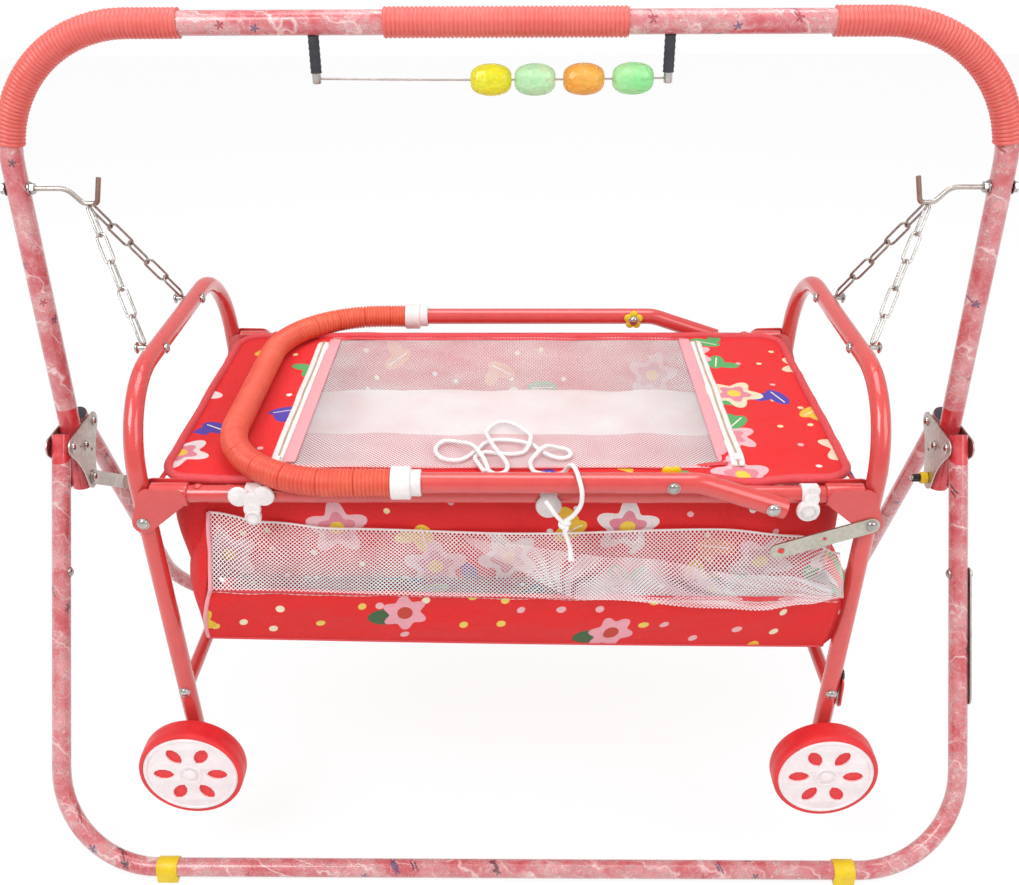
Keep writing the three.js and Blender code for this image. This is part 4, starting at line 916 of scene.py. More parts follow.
def make_straps():
    stud, pin = on_leg(0, 0.15, 1), Vector((0, 0, pin_z))
    thick, proud = 0.002, 0.0002
    low = -arch_half + 0.0153
    high = low + thick
    strap_plate("brace_plate", pin, stud, 0.009, low, high, "zinc", "brace", ["brace_strap"])
    end = stud.lerp(pin, 0.16)
    strap_plate("brace_end", end, stud, 0.0091, low - proud, high + proud, "brown", "brace")
    face = arch_half + leg_radius + 0.0003
    upper, lower = on_leg(0, 0.152), on_leg(0, 0.302)
    body = "side_strap_body"
    strap_plate("side_strap_plate", upper, lower, 0.008, face, face + thick, "zinc", body, ["side_strap"])
    at = [((face + thick, point.y, point.z), (1, 0, 0)) for point in (upper, lower)]
    bolts("side_strap_bolt", at[:1], 0.0056, 0.0035, body="front_leg")
    bolts("side_strap_rivet", at[1:], 0.003, 0.0016, body=body)
    inner = [((side * (arch_half - leg_radius), upper.y, upper.z), (-side, 0, 0)) for side in signs]
    bolts("leg_inner_bolts", inner, 0.0052, 0.0035, body="front_leg")
    stud_place = ((-arch_half + leg_radius, stud.y, stud.z), (1, 0, 0))
    bolts("brace_stud", [stud_place], 0.005, 0.0075, body="rear_leg")


def make_hooks():
    low = hook_low[1]
    for side, name in side_names.items():
        rod = [(arch_half + arch_radius + 0.008, hook_z), (0.491, hook_z), (0.475, low), (0.461, low)]
        line = bent([(side * x, 0, z) for x, z in rod], [0.02, 0.009], 8)
        tube(f"hook_rod_{name}", line, 0.0028, "zinc", "stand", [f"hook_{name}"])
        prong = bent([(side * x, 0, z) for x, z in ((0.463, low), (0.4595, low), (0.453, 0.786))], [0.005], 6)
        tube(f"hook_prong_{name}", prong, 0.0029, "brown", "stand")
        nuts = []
        for face, way in ((arch_half - arch_radius, -1), (arch_half + arch_radius, 1)):
            axis = (side * way, 0, 0)
            nuts.append(set_at(barrel(0.0016, 0.008, 0.0004), (side * face, 0, hook_z), axis))
            nut = bmesh.new()
            size = {"radius1": 0.0062, "radius2": 0.0062, "depth": 0.0045}
            bmesh.ops.create_cone(nut, cap_ends=True, segments=6, **size)
            nuts.append(set_at(nut, (side * (face + way * 0.0038), 0, hook_z), axis))
        piece(f"hook_nuts_{name}", merged(nuts), "bright", "stand")


def knurled(length, radius):
    """A round post with shallow rings."""
    rings = [(radius - (0.0005 if k % 2 else 0), length * k / 12) for k in range(13)]
    return lathe([(0, 0), *rings, (0, length)], 24)


def wire_z(x):
    """The toy wire's height: it sags a little."""
    return 0.891 - 0.0015 * math.cos(math.pi * (x + 0.015) / wire_span)


def make_toy_bar():
    up, tip_z, post_z = (0, 0, 1), 0.886, 0.897
    tip = [(0, 0), (0.004, 0), (0.0047, 0.001), (0.0047, 0.0115), (0, 0.0115)]
    ends = (wire_left, wire_left + wire_span)
    posts = [set_at(knurled(arch_top - arch_radius - post_z, 0.006), (x, 0, post_z), up) for x in ends]
    tips = [set_at(lathe(tip, 20), (x, 0, tip_z), up) for x in ends]
    piece("toy_posts", merged(posts), "black", "stand", ["toy_bar"])
    piece("toy_post_tips", merged(tips), "bright", "stand")
    wire = [Vector((x, 0, wire_z(x))) for x in between(*ends, 24)]
    tube("toy_wire", wire, 0.0011, "zinc", "stand", rounds=3)
    half, radius, bore = 0.022, 0.0165, 0.0014
    outline = [(bore, -half * 0.98)]
    for a in between(-math.pi / 2, math.pi / 2, 16)[1:-1]:
        outline.append((radius * math.cos(a) ** 0.62, half * math.sin(a)))
    outline += [(bore, half * 0.98), outline[0]]
    for colour, x in (("yellow", -0.016), ("mint", 0.0305), ("orange", 0.082), ("green", 0.134)):
        name = f"bead_{colour}"
        bm = set_at(lathe(outline), (x, 0, wire_z(x)), (1, 0, 0))
        piece(f"toy_{name}", bm, name, f"toy_{colour}", [name], sharp=60)


# Cradle frame


def make_hoops():
    outline = [(-rail_y, hoop_foot), (-rail_y, hoop_top), (rail_y, hoop_top), (rail_y, hoop_foot)]
    hoop_bend, cross_radius, up = 0.1, 0.008, (0, 0, 1)
    flat_line = bent([(0, y, z) for y, z in outline], hoop_bend, 16)
    inside, pin_x, eye_x = hoop_x(hoop_top) - hoop_radius, 0.398, 0.4135
    for side, name in side_names.items():
        line = [Vector((side * hoop_x(p.z), p.y, p.z)) for p in flat_line]
        tube(f"hoop_bar_{name}", line, hoop_radius, "paint", stands_for=[f"hoop_{name}"], rounds=6)
        feet = [(side * hoop_x(hoop_foot), y, hoop_foot - 0.002) for y in (-rail_y, rail_y)]
        plugs = [set_at(barrel(0.004, 0.0108, 0.001), at, up) for at in feet]
        piece(f"hoop_plugs_{name}", merged(plugs), "black")
        x = side * hoop_x(cross_z)
        cross = [Vector((x, y, cross_z)) for y in (-rail_y + cross_radius, rail_y - cross_radius)]
        tube(f"cross_bar_{name}", cross, cross_radius, "paint", stands_for=[f"cross_tube_{name}"])
        heads = []
        for end in signs:
            heads.append(((x, end * (rail_y + hoop_radius), cross_z), (0, end, 0)))
            heads.append(((x, end * (rail_y - hoop_radius), cross_z + 0.012), (0, -end, 0)))
        bolts(f"hoop_low_bolts_{name}", heads, *bar_bolt)
        heads = []
        for out, way in ((inside, -side), (eye_x, side)):
            heads += [((side * out, y, hoop_top), (way, 0, 0)) for y in (-chain_y, chain_y)]
        bolts(f"hoop_top_bolts_{name}", heads, *bar_bolt)
        pins = [(side * pin_x, y, hoop_top) for y in (-chain_y, chain_y)]
        pins = [set_at(barrel(0.016, 0.003), at, (side, 0, 0)) for at in pins]
        piece(f"hoop_eye_pins_{name}", merged(pins), "bright")


def channel_bracket():
    """The short outer channel on the right front leg, over its lower bolt."""
    x, y = hoop_x(cross_z), -rail_y
    wall = lobed([(y, 0.25, 0.0115), (y, 0.228, 0.0115)], x + 0.0108, x + 0.0126)
    piece("channel_plate", wall, "paint")
    cap = lobed([(y, 0.2615, 0.0065), (y, 0.258, 0.0065)], x + 0.0107, x + 0.013)
    piece("channel_end", cap, "black")


def make_rails():
    gap, thick = 0.0003, 0.002
    end_x = hoop_x(rail_z - 0.0122) - hoop_radius - gap
    far, near = rail_y + hoop_radius + gap, rail_y - hoop_radius - gap
    sleeve = [(0.0096, 0), (0.0118, 0.0005), (0.0122, 0.003), (0.0122, 0.0395), (0.0117, 0.04), (0, 0.04)]
    for end, name in end_names.items():
        line = [Vector((x, end * rail_y, rail_z)) for x in (-end_x, end_x)]
        tube(f"rail_bar_{name}", line, rail_radius, "paint", stands_for=[f"rail_{name}"], rounds=6)
        sleeves, plates, heads, bumps = [], [], [], []
        for side in signs:
            at = (side * (end_x - 0.04), end * rail_y, rail_z)
            sleeves.append(set_at(lathe(sleeve, 28), at, (side, 0, 0)))
            pivot = side * hoop_x(gusset_z)
            discs = [(pivot, gusset_z, 0.012), (side * (end_x - 0.028), rail_z, 0.0115)]
            discs.append((side * end_x, rail_z, 0.0122))
            for face, way in ((far, 1), (near, -1)):
                plates.append(lobed(discs, *sorted((end * face, end * (face + way * thick))), "y"))
            strap = 0.0023 if end < 0 and side > 0 else 0
            heads.append(((pivot, end * (far + thick + strap), gusset_z), (0, end, 0)))
            heads.append(((pivot, end * (near - thick), gusset_z), (0, -end, 0)))
            bump = (side * (end_x - 0.05), end * rail_y, rail_z + rail_radius - 0.0004)
            bumps.append((bump, (0, 0, 1)))
        piece(f"rail_sleeves_{name}", merged(sleeves), "paint")
        piece(f"rail_gussets_{name}", merged(plates), "paint")
        bolts(f"gusset_bolts_{name}", heads, *plate_bolt)
        bolts(f"rail_rivets_{name}", bumps, 0.0042, 0.0024, "paint")
        pivot_bolt = ((0.276, end * (handle_y + handle_radius), rail_z), (0, end, 0))
        bolts(f"handle_pivot_bolt_{name}", [pivot_bolt], 0.006, 0.0042)


def make_chains():
    wire, links, turn = 0.0015, 5, 0.0055
    right_angle = math.pi / 2
    for (side, end), name in corner_names.items():
        top = Vector((side * hook_low[0], end * 0.0033, hook_low[1] - 0.0043))
        foot = Vector((side * 0.4065, end * chain_y, hoop_top + 0.0052))
        axis = (foot - top).normalized()
        flat_way = (Vector((0, 1, 0)) - axis * axis.y).normalized()
        pitch = (foot - top).length / links
        outline = arc((turn, 0), turn, between(3 * right_angle, right_angle, 10))
        outline += arc((pitch + 2 * wire - turn, 0), turn, between(right_angle, -right_angle, 10))
        rings = []
        for i in range(links):
            across = axis.cross(flat_way) if i % 2 else flat_way
            start = top + axis * (i * pitch - wire)
            rings.append([start + axis * u + across * v for u, v in outline])
        # The rear chains take the darker copy of the same metal: painted shade
        finish = "link" if end < 0 else "shaded_chain_zinc"
        wires(f"chain_links_{name}", rings, wire, finish, stands_for=[f"chain_{name}"], closed=True, rounds=2)


def make_wheels():
    rim, half, r = wheel_radius * 0.91, wheel_half, wheel_radius
    tyre = [(0.0045, -half), (0.011, -half), (0.0112, half - 0.0065), (rim * 0.9, half - 0.0065)]
    tyre += [(rim * 0.91, -half), (r - 0.003, -half), (r - 0.0009, -half + 0.0009), (r, -half + 0.003)]
    tyre += [(r + 0.0003, -0.004), (r - 0.0006, 0), (r + 0.0003, 0.004), (r, half - 0.003)]
    tyre += [(r - 0.0009, half - 0.0009), (r - 0.003, half), (rim + 0.0002, half)]
    tyre += [(rim + 0.0002, half - 0.0028), (0.0045, half - 0.0028), (0.0045, -half)]
    cap = [(0, 0), (0.0078, 0), (0.0078, 0.0008), (0.0066, 0.0018), (0.003, 0.0026), (0, 0.0027)]
    outer, inner = rail_y + hoop_radius, rail_y - hoop_radius
    for (side, end), name in corner_names.items():
        x, out = side * hoop_x(wheel_z), (0, end, 0)
        at, body = (x, end * wheel_y, wheel_z), f"wheel_{name}"
        tread, face = set_at(lathe(tyre, 64), at, out), set_at(wheel_face(rim), at, out)
        piece(f"tread_{name}", tread, "tread", body, [f"wheel_tyre_{name}"], sharp=40)
        piece(f"wheel_face_{name}", face, "wheel_disc", body, [f"wheel_disc_{name}"], sharp=30)
        hub = set_at(lathe(cap, 24), (x, end * (wheel_y + half), wheel_z), out)
        piece(f"axle_cap_{name}", hub, "wheel_disc", stands_for=[f"axle_{name}"])
        rod = [Vector((x, end * y, wheel_z)) for y in (inner - 0.0042, wheel_y + half)]
        tube(f"axle_rod_{name}", rod, 0.004, "bright", rounds=2)
        spacer = set_at(barrel(wheel_y - half - outer - 0.0006, 0.007), (x, end * outer, wheel_z), out)
        piece(f"axle_spacer_{name}", spacer, "white")
        bolts(f"axle_nut_{name}", [((x, end * inner, wheel_z), (0, -end, 0))], 0.0062, 0.0045)


def wheel_face(rim):
    """The pale wheel disc: a raised rim and hub, and six leaf-shaped holes."""
    loops = [arc((0, 0), rim, [a / 10 for a in range(63)])]
    leaf = [(0.34, 0), (0.41, 0.09), (0.52, 0.135), (0.64, 0.135), (0.74, 0.085), (0.79, 0)]
    leaf += [(r, -w) for r, w in reversed(leaf[1:-1])]
    for i in range(6):
        turn = Matrix.Rotation(math.pi / 3 * i, 2)
        loops.append([turn @ Vector(at) * rim for at in leaf])
    loops.append(arc((0, 0), 0.005, [a / 2 for a in range(12)]))
    parts = [pressed(loops, 0.0014, 0.0006, 1, Matrix.Translation((0, 0, wheel_half - 0.0016)))]
    low = wheel_half - 0.0004
    for radius, width, height in ((rim * 0.95, 0.0022, 0.0012), (0.0125, 0.0014, 0.0014)):
        shape = [(radius - width, low), (radius - width * 0.6, low + height)]
        shape += [(radius + width * 0.6, low + height), (radius + width, low)]
        shape += [(radius + width, low - 0.001), (radius - width, low - 0.001), shape[0]]
        parts.append(lathe(shape, 64))
    return merged(parts)


# Handle


def make_handle():
    wide, slight = 0.13, 0.05
    slope = (handle_z - rail_z) / 0.076
    arm = [(0.29, rail_z - 0.014 * slope), (0.2, handle_z), (-0.307, handle_z)]
    corners = [(x, -handle_y, z) for x, z in arm] + [(x, handle_y, z) for x, z in reversed(arm)]
    line = bent(corners, [slight, wide, wide, slight], 14)
    tube("handle_bar", line, handle_radius, "paint", "handle", ["handle_tube"], rounds=6)
    start, stop = (-0.1175, -handle_y, handle_z), (-0.1455, handle_y, handle_z)
    grip = bent([start, *corners[2:4], stop], wide, 24)
    crest, valley, pitch = 0.0152, 0.0134, 0.0042
    hose("grip_hose", grip, crest, valley, pitch, "grip", "handle", ["handle_grip"], rings=9)
    shape = [(0.0113, 0), (0.0168, 0), (0.0175, 0.0008), (0.0175, 0.0192), (0.0168, 0.02), (0.0146, 0.0202)]
    shape += [(0.014, 0.0212), (0.014, 0.0302), (0.0133, 0.031), (0.0113, 0.031), (0.0113, 0)]
    for (end, name), x in zip(end_names.items(), (-0.102, -0.13)):
        collar = set_at(lathe(shape, 36), (x - 0.0155, end * handle_y, handle_z), (1, 0, 0))
        piece(f"grip_collar_{name}", collar, "white", "handle", [f"collar_{name}"])
        heads = []
        for reach, way in ((handle_radius, end), (-handle_radius - 0.0056, -end)):
            heads.append(((handle_bolt_x, end * (handle_y + reach), handle_z), (0, way, 0)))
        bolts(f"flower_bolt_{name}", heads, *bar_bolt, body="handle")
        piece(f"flower_washer_{name}", flower(end), "yellow", "handle", sharp=50)


def flower(end):
    """A five-petalled yellow washer between the handle and its bolt's head."""
    parts = []
    for k in range(6):
        petal = bmesh.new()
        bmesh.ops.create_uvsphere(petal, u_segments=16, v_segments=10, radius=0.0058 if k < 5 else 0.0048)
        bmesh.ops.scale(petal, vec=(1, 1, 0.46), verts=petal.verts)
        if k < 5:
            way = arc((0, 0), 0.0077, [full_turn * k / 5 + 0.3])[0]
            bmesh.ops.translate(petal, vec=(*way, 0), verts=petal.verts)
        parts.append(petal)
    at = (handle_bolt_x, end * (handle_y - handle_radius - 0.0028), handle_z)
    return set_at(merged(parts), at, (0, -end, 0))


def make_lock_strap():
    pivot, out, body = hoop_x(gusset_z), (0, -1, 0), "rail_strap"
    length, half, thick = 0.1, 0.009, 0.002
    tip = arc((pivot, gusset_z), length, [math.radians(199)])[0]
    face = -(rail_y + hoop_radius + 0.0026)
    strap = lobed([(pivot, gusset_z, half), (*tip, half)], face - thick, face, "y")
    piece("lock_strap_plate", strap, "strap", body, ["lock_strap"])
    for name, share, radius in (("lock_strap_hole", 0.97, 0.0032), ("lock_strap_mid_hole", 0.5, 0.0016)):
        at = (pivot + (tip[0] - pivot) * share, face - 0.0019, gusset_z + (tip[1] - gusset_z) * share)
        rim = [(radius, 0), (radius + 0.0005, 0.0004), (radius + 0.0012, 0), (radius, 0)]
        piece(name + "_rim", set_at(lathe(rim, 20), at, out), "bright", body)
        piece(name, set_at(barrel(0.0003, radius, 0.0001), at, out), "tread", body)


clip_face = -(rail_y + rail_radius + 0.0018)


def clip(name, x, discs, finish, stands_for=()):
    """A plastic clip: a ring round the front rail with lobes in front; discs are (dx, z, radius, height)."""
    ring = [(0.0098, -0.009), (0.0118, -0.0085), (0.0118, 0.0085), (0.0098, 0.009), (0.0098, -0.009)]
    parts = [set_at(lathe(ring, 28), (x, -rail_y, rail_z), (1, 0, 0))]
    for dx, z, radius, height in discs:
        shape = [(0, 0), (radius * 0.96, 0), (radius, height * 0.3), (radius * 0.94, height * 0.8)]
        shape += [(radius * 0.7, height), (0, height * 0.86)]
        parts.append(set_at(lathe(shape, 28), (x + dx, clip_face, z), (0, -1, 0)))
    piece(name, merged(parts), finish, stands_for=stands_for, sharp=30)


def make_clips():
    left = [(-0.014, 0.508, 0.0115, 0.0045), (0.0125, 0.509, 0.0115, 0.0045), (0, 0.503, 0.0105, 0.0052)]
    left += [(-0.001, 0.4935, 0.0095, 0.006), (-0.001, 0.484, 0.009, 0.0072)]
    clip("left_clip", -0.266, left, "white", ["clip_left"])
    clip("middle_clip", 0.045, [(0, 0.497, 0.0138, 0.0048)], "grey_white")
    right = [(0.002, 0.516, 0.0062, 0.004), (0, 0.506, 0.0085, 0.005), (-0.002, 0.4925, 0.0125, 0.006)]
    clip("right_clip", 0.319, right, "white", ["clip_right"])
    rims = []
    for x, z, radius in ((-0.267, 0.484, 0.0062), (0.317, 0.4925, 0.0075)):
        shape = [(radius - 0.001, 0), (radius - 0.0008, 0.0012), (radius + 0.0008, 0.0012)]
        shape += [(radius + 0.001, 0), shape[0]]
        rims.append(set_at(lathe(shape, 28), (x, clip_face - 0.006, z), (0, -1, 0)))
    piece("clip_rims", merged(rims), "grey_white")


# Cloth parts


def rounded_ring(half_x, half_y, radius, shift=0.0, per_side=24, per_corner=6):
    """Points round a rounded rectangle, the same number on each ring."""
    corners = []
    for side, end, begin in ((1, -1, -90), (1, 1, 0), (-1, 1, 90), (-1, -1, 180)):
        angles = [math.radians(a) for a in between(begin, begin + 90, per_corner)]
        centre = (side * (half_x - radius), end * (half_y - radius) + shift)
        corners.append(arc(centre, radius, angles))
    ring = []
    for corner, following in zip(corners, corners[1:] + corners[:1]):
        straight = [between(a, b, per_side) for a, b in zip(corner[-1], following[0])]
        ring += corner + list(zip(*straight))[1:-1]
    return ring


def lofted(rings, close_last=False):
    """A skin over closed rings of equal counts."""
    bm = bmesh.new()
    loops = []
    for ring in rings:
        verts = [bm.verts.new(p) for p in ring]
        loops.append([bm.edges.new((a, b)) for a, b in zip(verts, verts[1:] + verts[:1])])
    for low, high in zip(loops, loops[1:]):
        bmesh.ops.bridge_loops(bm, edges=low + high)
    if close_last:
        bmesh.ops.contextual_create(bm, geom=loops[-1])
    return bm


def ripple(point, size, depth, seed=0.0):
    """A soft smooth offset for a cloth point."""
    return depth * noise.noise(Vector((point[0] / size + seed, point[1] / size, point[2] / size)))


def soften(made, thickness=0.0):
    smoother = made.modifiers.new("smooth", "SUBSURF")
    smoother.levels = smoother.render_levels = 1
    if thickness:
        wall = made.modifiers.new("wall", "SOLIDIFY")
        wall.thickness = thickness
        wall.offset = 0
    return made


def sheet_piece(name, counts, place, finish, thickness=0.0016, sharp=70, flat=None, stands_for=()):
    """A cloth sheet: place gives the point at u along and v down, and flat the size of a net's pattern."""
    bm = bmesh.new()
    bmesh.ops.create_grid(bm, x_segments=counts[0], y_segments=counts[1], size=0.5)
    shares = {vert: (vert.co.x + 0.5, 0.5 - vert.co.y) for vert in bm.verts}
    if flat:
        layer = bm.loops.layers.uv.new("UVMap")
        for loop in (loop for face in bm.faces for loop in face.loops):
            u, v = shares[loop.vert]
            loop[layer].uv = (u * flat[0], v * flat[1])
    for vert, share in shares.items():
        vert.co = place(*share)
    made = piece(name, bm, finish, stands_for=stands_for, sharp=sharp)
    return soften(made, thickness) if thickness else made


def ribbon(name, line, width, thickness, finish, way=None):
    """A flat tape along a line, lying level, or standing along the way given."""
    last = len(line) - 1

    def place(u, v):
        k = round((1 - v) * last)
        along = line[min(last, k + 1)] - line[max(0, k - 1)]
        across = (way or along.cross(Vector((0, 0, 1)))).normalized()
        lift = across.cross(along.normalized())
        crown = thickness * (1 - (2 * u - 1) ** 2)
        return line[k] + across * (u - 0.5) * width + lift * (crown if way or lift.z >= 0 else -crown)

    return sheet_piece(name, (4, last), place, finish, thickness, 80)


def make_basket():
    layers = [(0.513, -0.0015), (0.505, -0.002), (0.494, -0.001), (0.482, 0.001), (0.468, 0.0025)]
    layers += [(0.452, 0.002), (0.434, 0.001), (0.416, 0), (0.398, -0.0005), (0.38, -0.003), (0.372, -0.012)]
    half_x, half_y = basket_half
    rings = []
    for z, grow in layers:
        share = min(1.0, (basket_top - z) / 0.05)
        ring = []
        for x, y in rounded_ring(half_x + grow, half_y + grow, 0.034):
            push = ripple((x, y, z), 0.05, 0.006 * share)
            push += ripple((x * 2, y * 2, 0), 0.035, 0.003 * share, 4.0)
            out = Vector((x / half_x, y / half_y)).normalized()
            ring.append((x + out.x * push * 0.6, y + out.y * push, z + ripple((x, y, 0), 0.09, 0.003)))
        rings.append(ring)
    basket = piece("basket_cloth", lofted(rings, True), "side_cloth", stands_for=["basket_body"], sharp=60)
    soften(basket, 0.002)


def worked_out(thing):
    """A thing's mesh with its modifiers carried out."""
    return bpy.data.meshes.new_from_object(thing.evaluated_get(bpy.context.evaluated_depsgraph_get()))


def swell(bm, steps, limit):
    """A cloth simulation with a little pressure, in which no point goes further than the limit."""
    name = "swelling"
    mesh = bpy.data.meshes.new(name)
    bm.to_mesh(mesh)
    bm.free()
    plain = bpy.data.objects.new(name, mesh)
    scene.collection.objects.link(plain)
    remesh = plain.modifiers.new("remesh", "REMESH")
    remesh.mode = "VOXEL"
    remesh.voxel_size = 0.009
    bpy.context.view_layer.update()
    start = worked_out(plain)
    bpy.data.objects.remove(plain)
    worked = bpy.data.objects.new(name, start)
    scene.collection.objects.link(worked)
    cloth = worked.modifiers.new("cloth", "CLOTH")
    cloth.settings.use_pressure = True
    cloth.settings.uniform_pressure_force = 3
    cloth.settings.quality = 5
    cloth.settings.effector_weights.gravity = 0
    cloth.point_cache.frame_start = 1
    cloth.point_cache.frame_end = steps
    for step in range(1, steps + 1):
        scene.frame_set(step)
    done = worked_out(worked)
    scene.frame_set(1)
    worked.modifiers.clear()
    for vert, from_vert in zip(done.vertices, start.vertices):
        moved = vert.co - from_vert.co
        if moved.length > limit:
            vert.co = from_vert.co + moved.normalized() * limit
    worked.data = done
    result = bmesh.new()
    result.from_mesh(worked.data)
    bpy.data.objects.remove(worked)
    return result


def make_mattress():
    half_x, half_y = basket_half[0] - 0.0135, basket_half[1] - 0.0135
    low, high = 0.3895, 0.4585
    layers = [(0.97, 0.392), (0.995, 0.402), (1.0, 0.42), (0.995, 0.436), (0.97, 0.445), (0.88, 0.449)]
    layers.append((0.6, 0.4505))
    rings = [[(*at, z) for at in rounded_ring(half_x * s, half_y * s, 0.03 * s)] for s, z in layers]
    bm = lofted(rings, True)
    bmesh.ops.contextual_create(bm, geom=[e for e in bm.edges if e.is_boundary])
    bmesh.ops.recalc_face_normals(bm, faces=bm.faces)
    bm = swell(bm, 14, 0.006)
    for vert in bm.verts:
        if vert.co.z > 0.44:
            vert.co.z += ripple(vert.co, 0.07, 0.0035) + ripple(vert.co, 0.03, 0.0012, 3.0)
        vert.co.z = max(low, min(vert.co.z, high))
        vert.co.y = max(-half_y, min(vert.co.y, half_y))
        vert.co.x = max(-half_x, min(vert.co.x, half_x))
    bed = soften(piece("mattress_pad", bm, "sheet", stands_for=["mattress"], sharp=80))


def cover_height(x, y):
    """The cover's height, with a sag along its front edge and puckers near its right front corner."""
    across = x / basket_half[0]
    front = max(0.0, -y / basket_half[1])
    sag = -0.0035 * front * (1 - across * across)
    near = math.exp(-((x - 0.25) ** 2 + (y + 0.17) ** 2) / 0.0032)
    pucker = 0.005 * near * math.sin(60 * x - 40 * y)
    return cover_z + sag + pucker + ripple((x, y, 0), 0.045, 0.0022) + ripple((x, y, 0), 0.018, 0.0009, 6.0)


def on_cover(points, lift=0.0):
    """The points of the cover at flat places, lifted a little."""
    return [Vector((x, y, cover_height(x, y) + lift)) for x, y in points]


def make_cover():
    outer_x, outer_y = basket_half[0] + 0.002, basket_half[1] + 0.0015
    rings = []
    for share in between(0, 1, 9):
        half_x = window_half[0] + (outer_x - window_half[0]) * share
        half_y = window_half[1] + (outer_y - window_half[1]) * share
        ring = rounded_ring(half_x, half_y, 0.012 + 0.02 * share, window_shift * (1 - share), 36)
        rings.append(on_cover(ring))
    cover = piece("cover_cloth", lofted(rings), "cover", stands_for=["top_cover"], sharp=70)
    soften(cover, 0.0018)
    edge = on_cover(rounded_ring(basket_half[0] + 0.003, basket_half[1] + 0.002, 0.033, 0.0, 48, 8), 0.0008)
    tube("cover_piping", edge, 0.0049, "piping", closed=True)


def make_cover_flaps():
    """The red cloth strip outside the piping at each end, sloping down to its hoop."""
    for side, name in side_names.items():

        def place(u, v):
            x, y = side * (0.3665 + 0.011 * u), 0.192 - 0.384 * v
            slope = 0.004 + 0.011 * math.sin(math.pi * (1 - v)) ** 0.35
            return (x, y, cover_z - 0.001 - slope * u + ripple((x, y, 0), 0.03, 0.0025))

        sheet_piece(f"cover_flap_{name}", (6, 40), place, "side_cloth", 0.0015)


def make_window():
    half_x, half_y = window_half[0] + 0.006, window_half[1] + 0.006
    net_z, sag = 0.5149, 0.0035
    border_x, border_z = 0.238, 0.5162

    def place(u, v):
        a, b = 2 * u - 1, 1 - 2 * v
        x, y = a * half_x, b * half_y + window_shift
        inside = (1 - a**2) * (1 - b**2)
        return (x, y, net_z - sag * inside * (1 - inside * 0.4) + ripple((x, y, 0), 0.05, 0.0011))

    net = sheet_piece("window_net", (48, 36), place, "cover_net", 0, 80, stands_for=["cover_net"])
    for side, name in side_names.items():
        make_zip(side, name)
        border = [Vector((side * border_x, y, border_z)) for y in between(-0.164, 0.182, 30)]
        ribbon(f"net_border_{name}", border, 0.015, 0.0006, "pink_edge")
    for y, name in ((-0.1665, "front"), (0.1845, "rear")):
        hem = on_cover([(x, y) for x in between(-0.24, 0.24, 48)], 0.0014)
        ribbon(f"window_hem_{name}", hem, 0.007, 0.001, "piping")


def make_zip(side, name):
    zip_x, front, rear = 0.252, -0.168, 0.172
    line = on_cover([(side * zip_x, y) for y in between(front, rear, 40)], 0.0016)
    ribbon(f"zip_tape_{name}", line, 0.0155, 0.0009, "tape")
    teeth = [p + Vector((0, 0, 0.0012)) for p in spaced(line, 0.0015)]
    shares = [1 if k % 2 else 0.55 for k in range(len(teeth))]
    tube(f"zip_teeth_{name}", teeth, 0.0016, "teeth", shares=shares, rounds=1)
    pull = bmesh.new()
    bmesh.ops.create_cube(pull, size=1)
    bmesh.ops.scale(pull, vec=(0.0065, 0.012, 0.0028), verts=pull.verts)
    bevel(pull, pull.edges, 0.0009)
    bmesh.ops.translate(pull, vec=line[1] + Vector((0, 0.004, 0.0028)), verts=pull.verts)
    piece(f"zip_slider_{name}", pull, "tape")


def through(stops, u):
    """The height at u on a smooth curve through pairs of share and height."""
    for (u0, h0), (u1, h1) in zip(stops, stops[1:]):
        if u <= u1:
            share = (1 - math.cos(math.pi * max(0.0, u - u0) / (u1 - u0))) / 2
            return h0 + (h1 - h0) * share
    return stops[-1][1]


def store_x(u, v=0.0):
    """How far along: the left edge stands in at the hem and out at the foot."""
    left = store_left + 0.02 * (1 - v) ** 1.5
    return left + (store_right - left) * u


def pocket_front(u, v):
    """A point on the store's front panel: u along, v down from its hem."""
    hem_z = 0.398 - 0.011 * u - 0.003 * math.sin(math.pi * u)
    foot_z = store_foot - store_drop * u - 0.002 * math.sin(math.pi * u)
    z = hem_z + (foot_z - hem_z) * v
    y = -pocket_y + 0.024 * v - 0.0035 * math.sin(math.pi * v)
    crease = ripple((store_x(u), z, 0), 0.05, 0.006, 2.0) + ripple((store_x(u), z * 2, 0), 0.018, 0.002)
    y += crease * math.sin(math.pi * min(1, v + 0.1))
    return Vector((store_x(u, v), max(y, pocket_limit), z))


def store_floor(u, v):
    y = store_front + (store_back - store_front) * v
    z = store_foot - store_drop * u - 0.004 * math.sin(math.pi * v)
    return Vector((store_x(u, 1), y, z + ripple((store_x(u), y, 0), 0.08, 0.002)))


def store_rear(u, v):
    foot = store_floor(u, 1)
    return foot + Vector((0, 0.002 * math.sin(math.pi * v), (basket_floor - foot.z) * v))


def store_right_end(u, v):
    y = -0.209 + 0.399 * u
    out = 0.044 * (math.sin(math.pi * u**0.6) * math.sin(math.pi * (1 - v) ** 0.6)) ** 0.55
    z = 0.302 + (basket_floor - 0.003 - 0.302) * (1 - v) + ripple((y, v, 0), 0.06, 0.002)
    return Vector((store_right - 0.001 + out, y - 0.018 * (1 - v) * (1 - u), z))


def store_left_end(u, v):
    z = 0.474 - 0.164 * v
    x = store_left + 0.02 * (1 - max(0.0, v - 0.45) / 0.55) ** 1.5
    y = -through([(0, 0.2), (0.45, 0.2315), (1, 0.209)], v)
    flare = 0.038 * math.sin(math.pi * (0.06 + 0.9 * v)) * math.sin(math.pi / 2 * u)
    return Vector((x - 0.003 - flare, y + 0.0025 + 0.1 * u**1.4, z + ripple((y, z, 1), 0.04, 0.002)))


